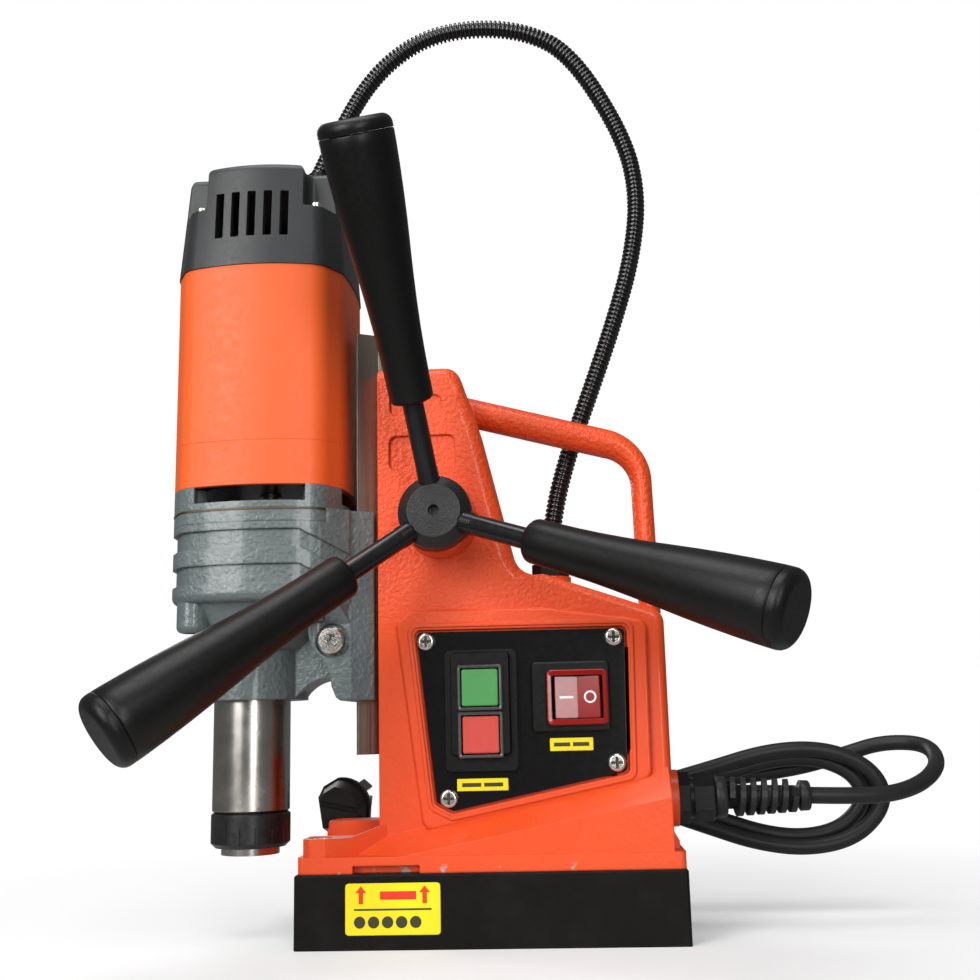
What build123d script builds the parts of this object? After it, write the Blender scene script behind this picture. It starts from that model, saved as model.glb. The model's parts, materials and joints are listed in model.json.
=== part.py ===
"""Magnetic drill press: electromagnet base, cast stand, rack-fed dovetail slide and a geared motor unit.

Millimetres, +Z up. The origin is the centre of the magnet's bottom face. X runs along the magnet, with the
spindle at -X and the power cord at +X. Y runs across it, with the control panel and the feed wheel at -Y.
"""

from build123d import *
from math import acos, atan2, cos, pi, radians, sin, sqrt, tan
import os

# Driving dimensions ------------------------------------------------------------------------------------------
MAGNET = (180, 86, 33)  # length, width, height of the magnet block
FLANGE_TOP = 40.5  # top of the casting's base flange
LEG_TOP = 48.5  # top of the two legs under the spindle end
REAR_PAD_TOP = 52.5  # the rear leg carries a higher pad
COLUMN_LEFT = -53.0  # the column's guide face
COLUMN_TOP = 279.0
COLUMN_HALF = 25.0  # half the column's width
HOUSING_HALF = 28.0  # half the width of the switch housing below the column
BASE_HALF = 41.0  # half the width of the base flange
STAND_RIGHT = 86.0  # end face of the housing

PLATE_BOTTOM, PLATE_TOP = 86.0, 300.0  # the dovetail plate at rest
DOVETAIL_WIDE, DOVETAIL_WAIST = 19.0, 13.0  # half widths
PLATE_OUTER, PLATE_WAIST, PLATE_INNER = -65.0, -54.2, -43.0  # X of the plate's wide and narrow lines
SLIDE_CLEAR = 0.06  # running clearance on the dovetails
GIB = 3.0  # gib strip's thickness

PINION_AXIS = (-21.5, 198.3)  # X, Z of the feed pinion
FEED_MODULE, FEED_TEETH = 1.25, 16
BACKLASH = 0.25
FEED_RADIUS = FEED_MODULE * FEED_TEETH / 2
RACK_BOTTOM, RACK_TOP = 124.0, 252.0
SHAFT_R = 7.0
HUB_FRONT = -57.8
BOSS_FRONT = -43.0
SPOKE_TILT = 29.0  # degrees that each spoke leans towards -Y
SPOKE_ROOT_Y = -45.2  # where the spokes' axes cross the pinion's axis
SPOKE_ANGLES = (98.56, -21.44, -141.44)  # degrees in XZ, counterclockwise seen from -Y
SPOKE_R = 5.0
GRIP_START, GRIP_LENGTH = 56.8, 121.5  # along the spoke
GRIP_R1, GRIP_R2 = 10.3, 16.8

MOTOR_X = -113.4
SPINDLE_X = -121.5
MOTOR_HALF = 44.0
CONDUIT_END_X = -91.5  # where the conduit enters the motor cap, at Y 14
GEARBOX_BOTTOM, GEARBOX_TOP = 160.0, 204.0
FAN_RING_TOP = 216.5
SKIRT_TOP = 238.7
CASING_TOP = 330.0
CAP_TOP = 387.0
NECK_BOTTOM, NECK_R = 113.5, 28.0
SPINDLE_BOTTOM, SPINDLE_R = 39.0, 19.1
ARBOR_R, ARBOR_DEPTH = 9.53, 62.0
COLLAR_BOTTOM, COLLAR_TOP = 42.5, 59.0
CLAMP_BOLT = (-75.5, 141.0)  # X, Z

MOTOR_MODULE, MOTOR_PINION, MOTOR_GEAR = 0.8, 8, 44
OUT_MODULE, OUT_PINION, OUT_GEAR = 1.0, 10, 31
PRESSURE = radians(20)

CORD_D = 8.0
CONDUIT_D = 9.0

os.makedirs("parts", exist_ok=True)


def save(part, name):
    """Write one finished piece under its node name."""
    part.label = name
    export_step(part, f"parts/{name}.step")


def xz(y):
    """Workplane parallel to XZ at the given Y, its local x along +X, its local y along +Z."""
    return Plane(origin=(0, y, 0), x_dir=(1, 0, 0), z_dir=(0, -1, 0))


def involute(angle):
    return tan(angle) - angle


def gear_points(module, teeth, shift, addendum, first):
    """Outline of a spur gear: involute flanks, the first tooth centred on the angle `first`."""
    pitch, base = module * teeth / 2, module * teeth / 2 * cos(PRESSURE)
    tip = pitch + module * (addendum + shift)
    root = pitch - module * (1.25 - shift)
    half = (module * (pi / 2 + 2 * shift * tan(PRESSURE)) - BACKLASH * module / 2) / (2 * pitch)
    start = max(base, root)
    flank = []
    for step in range(5):
        radius = start + (tip - start) * step / 4
        flank.append((radius, half + involute(PRESSURE) - involute(acos(min(1.0, base / radius)))))
    if root < base:
        flank.insert(0, (root, flank[0][1]))
    points = []
    for tooth in range(teeth):
        centre = first + 2 * pi * tooth / teeth
        sides = [(r, centre - a) for r, a in flank] + [(r, centre + a) for r, a in reversed(flank)]
        points += [(r * cos(a), r * sin(a)) for r, a in sides]
    return points


def motor_section(half, round_off=13.0):
    """Motor outline centred on the sketch's origin: bulged front and rear, cut corners, rounded all over."""
    front, side, cut_x, cut_y = half - 4, half - 1, 9, 18
    near, far = side - cut_x + 1, half - cut_y
    corners = [(near, -front), (side, -far), (side, far), (near, front)]
    with BuildSketch(mode=Mode.PRIVATE) as section:
        with BuildLine():
            ThreePointArc((-near, -front), (0, -half - 2.2), (near, -front))
            Line(corners[0], corners[1])
            ThreePointArc(corners[1], (half + 0.3, 0), corners[2])
            Line(corners[2], corners[3])
            ThreePointArc((near, front), (0, half + 2.2), (-near, front))
            Line((-near, front), (-side, far))
            ThreePointArc((-side, far), (-half - 0.3, 0), (-side, -far))
            Line((-side, -far), (-near, -front))
        make_face()
        fillet(section.vertices(), round_off)
    return section.sketch


def motor_prism(bottom, top, half, round_off=13.0):
    """Straight length of the motor's outer shape."""
    with BuildPart() as prism:
        with BuildSketch(Plane((MOTOR_X, 0, bottom))):
            add(motor_section(half, round_off))
        extrude(amount=top - bottom)
    return prism.part


def socket_screw(head_r, head_h, shank_r, shank_l):
    """Socket cap screw along Z, head up, its seat at Z = 0."""
    with BuildPart() as screw:
        Cylinder(head_r, head_h, align=(Align.CENTER, Align.CENTER, Align.MIN))
        chamfer(screw.faces().sort_by(Axis.Z)[-1].edges(), head_h * 0.12)
        Cylinder(shank_r, shank_l, align=(Align.CENTER, Align.CENTER, Align.MAX))
        with BuildSketch(Plane.XY.offset(head_h)):
            RegularPolygon(head_r * 0.52, 6)
        extrude(amount=-head_h * 0.6, mode=Mode.SUBTRACT)
    return screw.part


def pan_screw(head_r, head_h, shank_r, shank_l):
    """Cross-recess pan screw along Z, head up, its seat at Z = 0."""
    with BuildPart() as screw:
        Cylinder(head_r, head_h, align=(Align.CENTER, Align.CENTER, Align.MIN))
        fillet(screw.faces().sort_by(Axis.Z)[-1].edges(), head_h * 0.6)
        Cylinder(shank_r, shank_l, align=(Align.CENTER, Align.CENTER, Align.MAX))
        with BuildSketch(Plane.XY.offset(head_h)):
            Rectangle(head_r * 1.25, head_r * 0.3)
            Rectangle(head_r * 0.3, head_r * 1.25)
        extrude(amount=-head_h * 0.6, mode=Mode.SUBTRACT)
    return screw.part


def facing_front(part, x, y, z):
    """Turn a piece modelled along +Z so that its head looks towards -Y, and place its seat."""
    return Location((x, y, z), (90, 0, 0)) * part


def gathered(parts):
    """One node made of several separate solids."""
    return Compound(children=list(parts))


def tube(points, diameter):
    """Round cord along straight runs joined by tangent arcs; prints the arcs' radii."""
    runs = [(Vector(*b) - Vector(*a)).length for a, b in zip(points, points[1:])]
    radii = []
    for i in range(1, len(points) - 1):
        before = (Vector(*points[i]) - Vector(*points[i - 1])).normalized()
        after = (Vector(*points[i + 1]) - Vector(*points[i])).normalized()
        turn = acos(max(-1.0, min(1.0, before.dot(after))))
        radii.append(0.45 * min(runs[i - 1], runs[i]) / tan(turn / 2))
    with BuildPart() as cord:
        with BuildLine() as path:
            FilletPolyline(*points, radius=radii)
        with BuildSketch(Plane(origin=path.line @ 0, z_dir=path.line % 0)):
            Circle(diameter / 2)
        sweep()
    length = path.wires()[0].length
    expected = pi * diameter**2 / 4 * length
    print("tube radii", [round(r) for r in radii], "length", round(length, 1),
          "volume/expected", round(cord.part.volume / expected, 4))
    return cord.part


# Magnet ------------------------------------------------------------------------------------------------------
COIL_SLOTS = [(-44, 0), (44, 0)]
BASE_SCREWS = [(-80, -30), (-80, 30), (4, -16), (44, -16)]
with BuildPart() as magnet_block:
    with BuildSketch():
        RectangleRounded(MAGNET[0], MAGNET[1], 1.5)
    extrude(amount=MAGNET[2])
    chamfer(magnet_block.faces().sort_by(Axis.Z)[-1].edges(), 0.8)
    with BuildSketch():
        with Locations(*COIL_SLOTS):
            RectangleRounded(80, 70, 8)
            RectangleRounded(48, 38, 6, mode=Mode.SUBTRACT)
    extrude(amount=24, mode=Mode.SUBTRACT)
    with Locations(*[(x, y, MAGNET[2]) for x, y in BASE_SCREWS]):
        Hole(3.0, 8)
save(magnet_block.part, "magnet_block")


def slot_ring(bottom, top, gap):
    """A ring that fills each coil slot between two heights, a gap clear of its walls."""
    rings = []
    for x, y in COIL_SLOTS:
        with BuildPart() as ring:
            with BuildSketch(Plane.XY.offset(bottom)):
                with Locations((x, y)):
                    RectangleRounded(80 - 2 * gap, 70 - 2 * gap, 8 - gap)
                    RectangleRounded(48 + 2 * gap, 38 + 2 * gap, 6 + gap, mode=Mode.SUBTRACT)
            extrude(amount=top - bottom)
        rings.append(ring.part)
    return gathered(rings)


save(slot_ring(3.0, 23.5, 0.5), "magnet_coils")
save(slot_ring(0.2, 3.0, 0.0), "magnet_potting")

# Stand casting -----------------------------------------------------------------------------------------------
SHOULDER = [(28.6, 171.1), (STAND_RIGHT, 151.0)]
PANEL = [(-34, 143.6), (66.5, 143.0), (65.2, 76.0), (-17.5, 59.3), (-25, 63.2)]
PANEL_SCREWS = [(-29.3, 139.0), (61.1, 138.8), (60.4, 80.0), (-19.3, 65.0)]


def panel_outline(grow):
    """Outline of the control panel, grown on all sides, with rounded corners."""
    with BuildSketch(mode=Mode.PRIVATE) as outline:
        with BuildLine():
            Polyline(*PANEL, close=True)
        make_face()
        if grow:
            offset(amount=grow, kind=Kind.INTERSECTION)
        fillet(outline.vertices(), 2.4 + grow * 0.6)
    return outline.sketch


# Column with its sloping, rounded back; the back runs into the housing's shoulder in a curve.
with BuildPart() as column:
    with BuildSketch(xz(0)):
        with BuildLine():
            Polyline(
                (25, 170), (25, FLANGE_TOP), (COLUMN_LEFT, FLANGE_TOP), (COLUMN_LEFT, COLUMN_TOP), (-19, COLUMN_TOP),
            )
            Spline((-19, COLUMN_TOP), (-9, 267), (-2.5, 248), tangents=((1, -0.1), (0.24, -1)))
            Line((-2.5, 248), (12.2, 186))
            Spline((12.2, 186), (17, 174.5), (25, 171), tangents=((0.24, -1), (1, -0.12)))
            Line((25, 171), (25, 170))
        make_face()
    extrude(amount=COLUMN_HALF, both=True)
    fillet(
        [e for e in column.edges() if abs(abs(e.center().Y) - COLUMN_HALF) < 0.01
         and e.center().X > -20 and 178 < e.center().Z < 278], 7)

# Switch housing with a rounded shoulder and a rounded end.
with BuildPart() as housing:
    with BuildSketch(xz(0)):
        with BuildLine():
            Polyline(
                (COLUMN_LEFT, FLANGE_TOP), (COLUMN_LEFT, 120), (-36, 160), *SHOULDER, (STAND_RIGHT, FLANGE_TOP),
                close=True,
            )
        make_face()
    extrude(amount=COLUMN_HALF, both=True)
    shoulder = Vector(STAND_RIGHT, 0, 151)
    fillet(housing.edges().filter_by(Axis.Y).sort_by(lambda e: (e.center() - shoulder).length)[0], 8)
    fillet(
        [e for e in housing.edges() if abs(abs(e.center().Y) - COLUMN_HALF) < 0.01
         and e.center().X > 40 and e.center().Z > FLANGE_TOP + 1], 4)
    with Locations((STAND_RIGHT, 0, 62.75)):
        Box(3, 60, 25.5, mode=Mode.SUBTRACT)
    with BuildSketch(xz(0)):
        with BuildLine():
            Polyline((80, FLANGE_TOP), (80, 50), (84.5, 50), (88, 44), (88, FLANGE_TOP), close=True)
        make_face()
    extrude(amount=COLUMN_HALF, both=True)

# Raised surround of the control panel, on both sides.
with BuildPart() as surround:
    with BuildSketch(xz(0)):
        with BuildLine():
            Polyline(
                (-31.5, 50), (-44.3, 148.5), (-37, 154.5), (29, 153.8), (77.3, 146.7), (76.5, 72.5), close=True,
            )
        make_face()
        fillet(vertices(), 5)
    extrude(amount=HOUSING_HALF, both=True)
    fillet([e for e in surround.edges() if abs(abs(e.center().Y) - HOUSING_HALF) < 0.01], 1.5)

def bar_end(wire, share, half_high, half_deep):
    """Oval section square to a wire at a share of its length."""
    with BuildSketch(Plane(origin=wire @ share, x_dir=(0, 1, 0), z_dir=wire % share)) as section:
        Ellipse(half_deep, half_high)
    return section.sketch


def oval_bar(wire, start, end):
    """Bar along a wire between two oval sections, each (half height, half depth)."""
    with BuildPart() as bar:
        sweep(sections=[bar_end(wire, 0, *start), bar_end(wire, 1, *end)], path=wire, multisection=True)
    return bar.part


# Carrying handle: a straight arm, a bend where it narrows, and a rear pillar.
ARM, PILLAR = (7.4, 9.0), (5.4, 8.6)
ARM_START, HANDLE_CORNER, PILLAR_END = Vector(-14, 0, 261.5), Vector(79.4, 0, 235.8), Vector(81, 0, 152)
BEND_REACH = 17.2  # from the corner to where the bend starts and ends
arm_way = (HANDLE_CORNER - ARM_START).normalized()
pillar_way = (PILLAR_END - HANDLE_CORNER).normalized()
bend_start, bend_end = HANDLE_CORNER - arm_way * BEND_REACH, HANDLE_CORNER + pillar_way * BEND_REACH
arm_wire = Wire([Edge.make_line(ARM_START, bend_start)])
bend_wire = Wire([Edge.make_tangent_arc(bend_start, arm_way, bend_end)])
pillar_wire = Wire([Edge.make_line(bend_end, PILLAR_END)])
with BuildPart() as handle:
    add(oval_bar(arm_wire, ARM, ARM))
    add(oval_bar(bend_wire, ARM, PILLAR))
    add(oval_bar(pillar_wire, PILLAR, PILLAR))
print("handle solids", len(handle.part.solids()), "closed", handle.part.is_valid)


def leg(side):
    """Leg at the spindle end: a pad that slopes up and narrows into the column."""
    with BuildPart() as pad:
        with BuildSketch(xz(0)):
            with BuildLine():
                Polyline(
                    (-87, FLANGE_TOP - 1), (-87, LEG_TOP), (-65, LEG_TOP), (-49, 54.5), (-49, FLANGE_TOP - 1),
                    close=True,
                )
            make_face()
        extrude(amount=side * -40.0)
        with BuildSketch(Plane.XY.offset(FLANGE_TOP - 2)):
            with BuildLine():
                Polyline(
                    (-87, 0), (-87, side * 36.5), (-83.5, side * 40), (-76, side * 40), (-50, side * 25.5),
                    (-49, side * 25), (-49, 0), close=True,
                )
            make_face()
        extrude(amount=30, mode=Mode.INTERSECT)
    return pad.part


with BuildPart() as rear_pad:
    with BuildSketch(Plane.XY.offset(FLANGE_TOP - 1)):
        with Locations((-67, 28)):
            RectangleRounded(40, 24, 8)
    extrude(amount=REAR_PAD_TOP - FLANGE_TOP + 1)
    fillet(rear_pad.faces().sort_by(Axis.Z)[-1].edges(), 1.4)

with BuildPart() as stand_casting:
    # Base flange.
    with BuildSketch(Plane.XY.offset(MAGNET[2])):
        with Locations((0.25, 0)):
            RectangleRounded(178.5, 2 * BASE_HALF, 3)
    extrude(amount=FLANGE_TOP - MAGNET[2])
    add(column.part)
    add(housing.part)
    add(surround.part)
    add(rear_pad.part)
    # Low flanks: a vertical wall that rises towards +X, with a slanted band above it.
    for side in (-1, 1):
        with BuildSketch(xz(side * 24)):
            with BuildLine():
                Polyline((-88, FLANGE_TOP), (84.5, 78), (84.5, FLANGE_TOP), close=True)
            make_face()
        with BuildSketch(xz(side * 39.5)):
            with BuildLine():
                Polyline((-39.2, FLANGE_TOP), (84.5, 64.3), (84.5, FLANGE_TOP), close=True)
            make_face()
        loft()
    for side in (-1, 1):
        add(leg(side))
    with BuildSketch(Plane.XY.offset(FLANGE_TOP)):
        with Locations((-75, 0)):
            Rectangle(44, 40)
    extrude(amount=30, mode=Mode.SUBTRACT)
    # Gland pads: cord at the end face, conduit on the shoulder.
    with BuildSketch(Plane(origin=(84, 0, 61.7), z_dir=(1, 0, 0))):
        Circle(13.5)
    extrude(amount=6)
    with BuildSketch(Plane.XY.offset(160)):
        with Locations((31.5, 13)):
            Circle(10.5)
    extrude(amount=13)
    # Bearing boss of the feed pinion, front and rear.
    with BuildSketch(xz(0)):
        with Locations(PINION_AXIS):
            Circle(18.3)
    extrude(amount=-BOSS_FRONT)
    with BuildSketch(xz(0)):
        with Locations(PINION_AXIS):
            Circle(17)
    extrude(amount=-30)
    add(handle.part)

    # Notch over the magnet and shallow pockets on the column's sides.
    with BuildSketch(xz(-BASE_HALF - 1)):
        with Locations((-47.5, 34.5)):
            Rectangle(31, 4)
    extrude(amount=-6, mode=Mode.SUBTRACT)
    for side in (-1, 1):
        with BuildSketch(xz(side * COLUMN_HALF)):
            with Locations((-30.5, 233.8)):
                RectangleRounded(33.5, 18, 4)
            with Locations((-33.5, 258.5)):
                RectangleRounded(26.5, 11, 4)
        extrude(amount=side * 1.6, mode=Mode.SUBTRACT)
    # Raised bead round the control panel, the panel's recess, and the cavity behind it.
    with BuildSketch(xz(-HOUSING_HALF)):
        add(panel_outline(4.2))
        add(panel_outline(2.4), mode=Mode.SUBTRACT)
    extrude(amount=0.8)
    with BuildSketch(xz(-HOUSING_HALF - 1)):
        add(panel_outline(1.2))
    extrude(amount=-4, mode=Mode.SUBTRACT)
    with BuildSketch(xz(-HOUSING_HALF - 1)):
        with BuildLine():
            Polyline((-22, 131), (-14, 134), (68, 134), (67, 86), (60, 74), (-12, 70), (-22, 90), close=True)
        make_face()
    extrude(amount=-50, mode=Mode.SUBTRACT)
    # Female dovetail for the slide, wider on the +Y side by the gib strip, and the rack's slot behind it.
    waist, wide = DOVETAIL_WAIST + SLIDE_CLEAR, DOVETAIL_WIDE + SLIDE_CLEAR
    inner = PLATE_INNER + SLIDE_CLEAR
    with BuildSketch(Plane.XY.offset(43)):
        with BuildLine():
            Polyline(
                (COLUMN_LEFT - 1, -waist - 0.1), (PLATE_WAIST, -waist), (inner, -wide), (inner, wide + GIB),
                (PLATE_WAIST, waist + GIB), (COLUMN_LEFT - 1, waist + GIB + 0.1), (-60, 0), close=True,
            )
        make_face()
        with Locations((-36.5, 0)):
            Rectangle(15, 13)
    extrude(amount=COLUMN_TOP, mode=Mode.SUBTRACT)
    # Pinion chamber and the bores for its two bushes.
    with BuildSketch(xz(0)):
        with Locations(PINION_AXIS):
            Circle(12.5)
    extrude(amount=6.5, both=True, mode=Mode.SUBTRACT)
    with BuildSketch(xz(0)):
        with Locations(PINION_AXIS):
            Circle(10)
    extrude(amount=60, both=True, mode=Mode.SUBTRACT)
    # Wire ways to the conduit and the cord gland, the conduit's and the cord's threads.
    with BuildSketch(Plane.XY.offset(120)):
        with Locations((31.5, 13)):
            Circle(6.5)
    extrude(amount=60, mode=Mode.SUBTRACT)
    with BuildSketch(Plane(origin=(60, 0, 61.7), z_dir=(1, 0, 0))):
        Circle(8)
    extrude(amount=40, mode=Mode.SUBTRACT)
    with BuildSketch(xz(10)):
        with Locations((64, 66)):
            Rectangle(16, 24)
    extrude(amount=20, mode=Mode.SUBTRACT)
    # Screw holes: base screws down to the magnet, gib screws from the rear.
    with Locations((*BASE_SCREWS[0], LEG_TOP), (*BASE_SCREWS[1], REAR_PAD_TOP)):
        CounterBoreHole(3.3, 5.6, 4.5, 24)
    with Locations(*[(x, y, 75) for x, y in BASE_SCREWS[2:]]):
        CounterBoreHole(3.3, 5.6, 25, 45)
    with BuildSketch(xz(-30)):
        with Locations(*PANEL_SCREWS):
            Circle(2.0)
    extrude(amount=-9, mode=Mode.SUBTRACT)
save(stand_casting.part, "stand_casting")
print("stand solids", len(stand_casting.part.solids()), "volume", stand_casting.part.volume)

with BuildPart() as gib_strip:
    with BuildSketch(Plane.XY.offset(50)):
        with BuildLine():
            Polyline(
                (PLATE_WAIST, DOVETAIL_WAIST + 2 * SLIDE_CLEAR), (PLATE_INNER, DOVETAIL_WIDE + 2 * SLIDE_CLEAR),
                (PLATE_INNER, DOVETAIL_WIDE + GIB), (PLATE_WAIST, DOVETAIL_WAIST + GIB), close=True,
            )
        make_face()
    extrude(amount=COLUMN_TOP - 52)
save(gib_strip.part, "gib_strip")

SCREW_SEATS = (LEG_TOP - 4.5, REAR_PAD_TOP - 4.5, 50.0, 50.0)
save(
    gathered([
        Location((x, y, seat)) * socket_screw(4.9, 4.0, 3.0, seat - MAGNET[2] + 7)
        for (x, y), seat in zip(BASE_SCREWS, SCREW_SEATS)
    ]),
    "base_screws",
)

# Control panel -----------------------------------------------------------------------------------------------
PANEL_BACK, PANEL_FRONT = -25.0, -27.2
SWITCH = (-3.2, 105.9)  # centre of the push-button switch
BEZEL = (39.8, 111.2)  # centre of the magnet switch's rubber bezel
ROCKER = (43.0, 110.8)  # centre of its rocker, off the bezel's centre
with BuildPart() as control_panel:
    with BuildSketch(xz(PANEL_BACK)):
        add(panel_outline(0))
        with Locations(SWITCH):
            Rectangle(27, 49, mode=Mode.SUBTRACT)
        with Locations(ROCKER):
            Rectangle(29, 25, mode=Mode.SUBTRACT)
        with Locations(*PANEL_SCREWS):
            Circle(2.2, mode=Mode.SUBTRACT)
    extrude(amount=PANEL_BACK - PANEL_FRONT)
save(control_panel.part, "control_panel")

PANEL_SCREW = pan_screw(4.3, 2.5, 2.0, 4.0)
save(
    gathered([facing_front(PANEL_SCREW, x, PANEL_FRONT, z) for x, z in PANEL_SCREWS]),
    "panel_screws",
)

BUTTON_SIZE = 17.4
BUTTONS = {"start_button": 10.4, "stop_button": -11.6}  # heights above the switch's centre
SWITCH_FACE, SHROUD_FACE, SWITCH_REAR = -30.2, -33.4, 2.0
with BuildPart() as push_switch:
    with BuildSketch(xz(PANEL_FRONT)):
        with Locations(SWITCH):
            RectangleRounded(34, 57, 2.5)
    extrude(amount=PANEL_FRONT - SWITCH_FACE)
    with BuildSketch(xz(PANEL_FRONT)):
        with Locations((SWITCH[0], SWITCH[1] + 3.0)):
            RectangleRounded(30, 50, 3)
    extrude(amount=PANEL_FRONT - SHROUD_FACE, taper=12)
    with BuildSketch(xz(SWITCH_REAR)):
        with Locations(SWITCH):
            Rectangle(25.6, 47.6)
    extrude(amount=SWITCH_REAR - PANEL_FRONT)
    for lift in BUTTONS.values():
        with BuildSketch(xz(-40)):
            with Locations((SWITCH[0], SWITCH[1] + lift)):
                Rectangle(BUTTON_SIZE + 1.4, BUTTON_SIZE + 1.4)
        extrude(amount=-28, mode=Mode.SUBTRACT)
save(push_switch.part, "push_switch")

for name, lift in BUTTONS.items():
    face = {"start_button": -35.0, "stop_button": -33.6}[name]
    with BuildPart() as button:
        with BuildSketch(xz(-18)):
            with Locations((SWITCH[0], SWITCH[1] + lift)):
                RectangleRounded(BUTTON_SIZE, BUTTON_SIZE, 1.0)
        extrude(amount=-18 - face)
        fillet(button.faces().sort_by(Axis.Y)[0].edges(), 0.8)
    save(button.part, name)

BEZEL_FACE, ROCKER_PIVOT_Y = -30.0, -25.0
with BuildPart() as rocker_bezel:
    with BuildSketch(xz(PANEL_FRONT)):
        with Locations(BEZEL):
            RectangleRounded(37.5, 33, 2)
    extrude(amount=PANEL_FRONT - BEZEL_FACE)
    chamfer(rocker_bezel.faces().sort_by(Axis.Y)[0].edges(), 0.8)
    with BuildSketch(xz(-2)):
        with Locations(ROCKER):
            Rectangle(27.6, 23.6)
    extrude(amount=-2 - PANEL_FRONT)
    with BuildSketch(xz(-34)):
        with Locations(ROCKER):
            Rectangle(24.5, 20.5)
    extrude(amount=-22, mode=Mode.SUBTRACT)
save(rocker_bezel.part, "rocker_bezel")

with BuildPart() as magnet_rocker:
    with BuildSketch(Plane.XY.offset(ROCKER[1] - 9.8)):
        with BuildLine():
            Polyline(
                (ROCKER[0] - 10.8, -31.2), (ROCKER[0], -29.6), (ROCKER[0] + 10.8, -32.6),
                (ROCKER[0] + 9.4, -22), (ROCKER[0], -17), (ROCKER[0] - 9.4, -22), close=True,
            )
        make_face()
    extrude(amount=19.6)
    fillet(magnet_rocker.edges().group_by(Axis.Y)[0], 0.6)
save(magnet_rocker.part, "magnet_rocker")

with BuildPart() as contact_blocks:
    with Locations((SWITCH[0], 5.2, SWITCH[1])):
        Box(22, 6, 40)
    with Locations((ROCKER[0], 1.2, ROCKER[1])):
        Box(20, 6, 18)

with BuildPart() as rectifier_board:
    with Locations((24, 16.5, 100)):
        Box(58, 1.6, 50)
    with Locations((8, 13.2, 100), (28, 13.2, 112), (40, 13.2, 90)):
        Box(12, 5, 14)
    with Locations((45, 18.6, 82)):
        Box(10, 2.6, 8)
save(gathered([contact_blocks.part, rectifier_board.part]), "switch_electrics")

# Feed --------------------------------------------------------------------------------------------------------
PX, PZ = PINION_AXIS


def along_feed(radius, front, rear):
    """Cylinder about the pinion's axis, from the front Y to the rear Y."""
    with BuildPart() as piece:
        with BuildSketch(xz(rear)):
            with Locations(PINION_AXIS):
                Circle(radius)
        extrude(amount=rear - front)
    return piece.part


with BuildPart() as pinion_shaft:
    with BuildSketch(Plane(origin=(PX, 6, PZ), x_dir=(1, 0, 0), z_dir=(0, -1, 0))):
        with BuildLine():
            Polyline(*gear_points(FEED_MODULE, FEED_TEETH, 0, 0.9, pi), close=True)
        make_face()
    extrude(amount=12)
    add(along_feed(SHAFT_R, BOSS_FRONT - 0.3, 30))
    add(along_feed(5.5, -50.5, BOSS_FRONT))
    chamfer(pinion_shaft.faces().sort_by(Axis.Y)[-1].edges(), 1)
save(pinion_shaft.part, "pinion_shaft")

bushes = []
for front, rear in ((BOSS_FRONT, -7.5), (7.5, 30)):
    with BuildPart() as bush:
        add(along_feed(10, front, rear))
        add(along_feed(SHAFT_R + 0.04, front - 1, rear + 1), mode=Mode.SUBTRACT)
    bushes.append(bush.part)
save(gathered(bushes), "pinion_bushes")


def spoke_plane(angle, distance):
    """Plane square to a spoke, at a distance along it from the pinion's axis; its normal points outwards."""
    a, tilt = radians(angle), radians(SPOKE_TILT)
    out = Vector(cos(a) * cos(tilt), -sin(tilt), sin(a) * cos(tilt))
    return Plane(origin=Vector(PX, SPOKE_ROOT_Y, PZ) + out * distance, z_dir=out)


SPOKE_START, SPOKE_END = 10.8, 120.0
HUB_R, HUB_BEVEL = 17.5, 4.8
with BuildPart() as feed_hub:
    add(along_feed(HUB_R, HUB_FRONT, BOSS_FRONT - 0.4))
    chamfer(feed_hub.faces().sort_by(Axis.Y)[0].edges(), HUB_BEVEL)
    with BuildSketch(xz(HUB_FRONT - 1)):
        with Locations(PINION_AXIS):
            Circle(2.6)
    extrude(amount=-5, mode=Mode.SUBTRACT)
    add(along_feed(5.5, -50.5, -40), mode=Mode.SUBTRACT)
    for angle in SPOKE_ANGLES:
        with BuildSketch(spoke_plane(angle, SPOKE_START)):
            Circle(SPOKE_R)
        extrude(amount=20, mode=Mode.SUBTRACT)
save(feed_hub.part, "feed_hub")

CAP_LENGTH = 6.5
grip_caps = []
for number, angle in enumerate(SPOKE_ANGLES, 1):
    with BuildPart() as spoke:
        with BuildSketch(spoke_plane(angle, SPOKE_START)):
            Circle(SPOKE_R)
        extrude(amount=SPOKE_END - SPOKE_START)
        chamfer(spoke.edges().filter_by(GeomType.CIRCLE), 0.6)
    save(spoke.part, f"spoke_{number}")
    start = spoke_plane(angle, GRIP_START)
    with BuildPart() as grip:
        with BuildSketch(start):
            Circle(GRIP_R1)
        with BuildSketch(start.offset(GRIP_LENGTH)):
            Circle(GRIP_R2)
        loft()
        with BuildSketch(start):
            Circle(SPOKE_R)
        extrude(amount=SPOKE_END - GRIP_START + 2, mode=Mode.SUBTRACT)
        fillet(grip.edges().filter_by(GeomType.CIRCLE).sort_by(lambda e: e.radius)[-2:-1], 1.6)
    save(grip.part, f"grip_{number}")
    with BuildPart() as grip_cap:
        with BuildSketch(start.offset(GRIP_LENGTH)):
            Circle(GRIP_R2)
        extrude(amount=CAP_LENGTH)
        top = max(grip_cap.faces(), key=lambda f: (f.center() - start.origin).length)
        fillet(top.edges(), 4.6)
    grip_caps.append(grip_cap.part)
save(gathered(grip_caps), "grip_caps")

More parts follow.
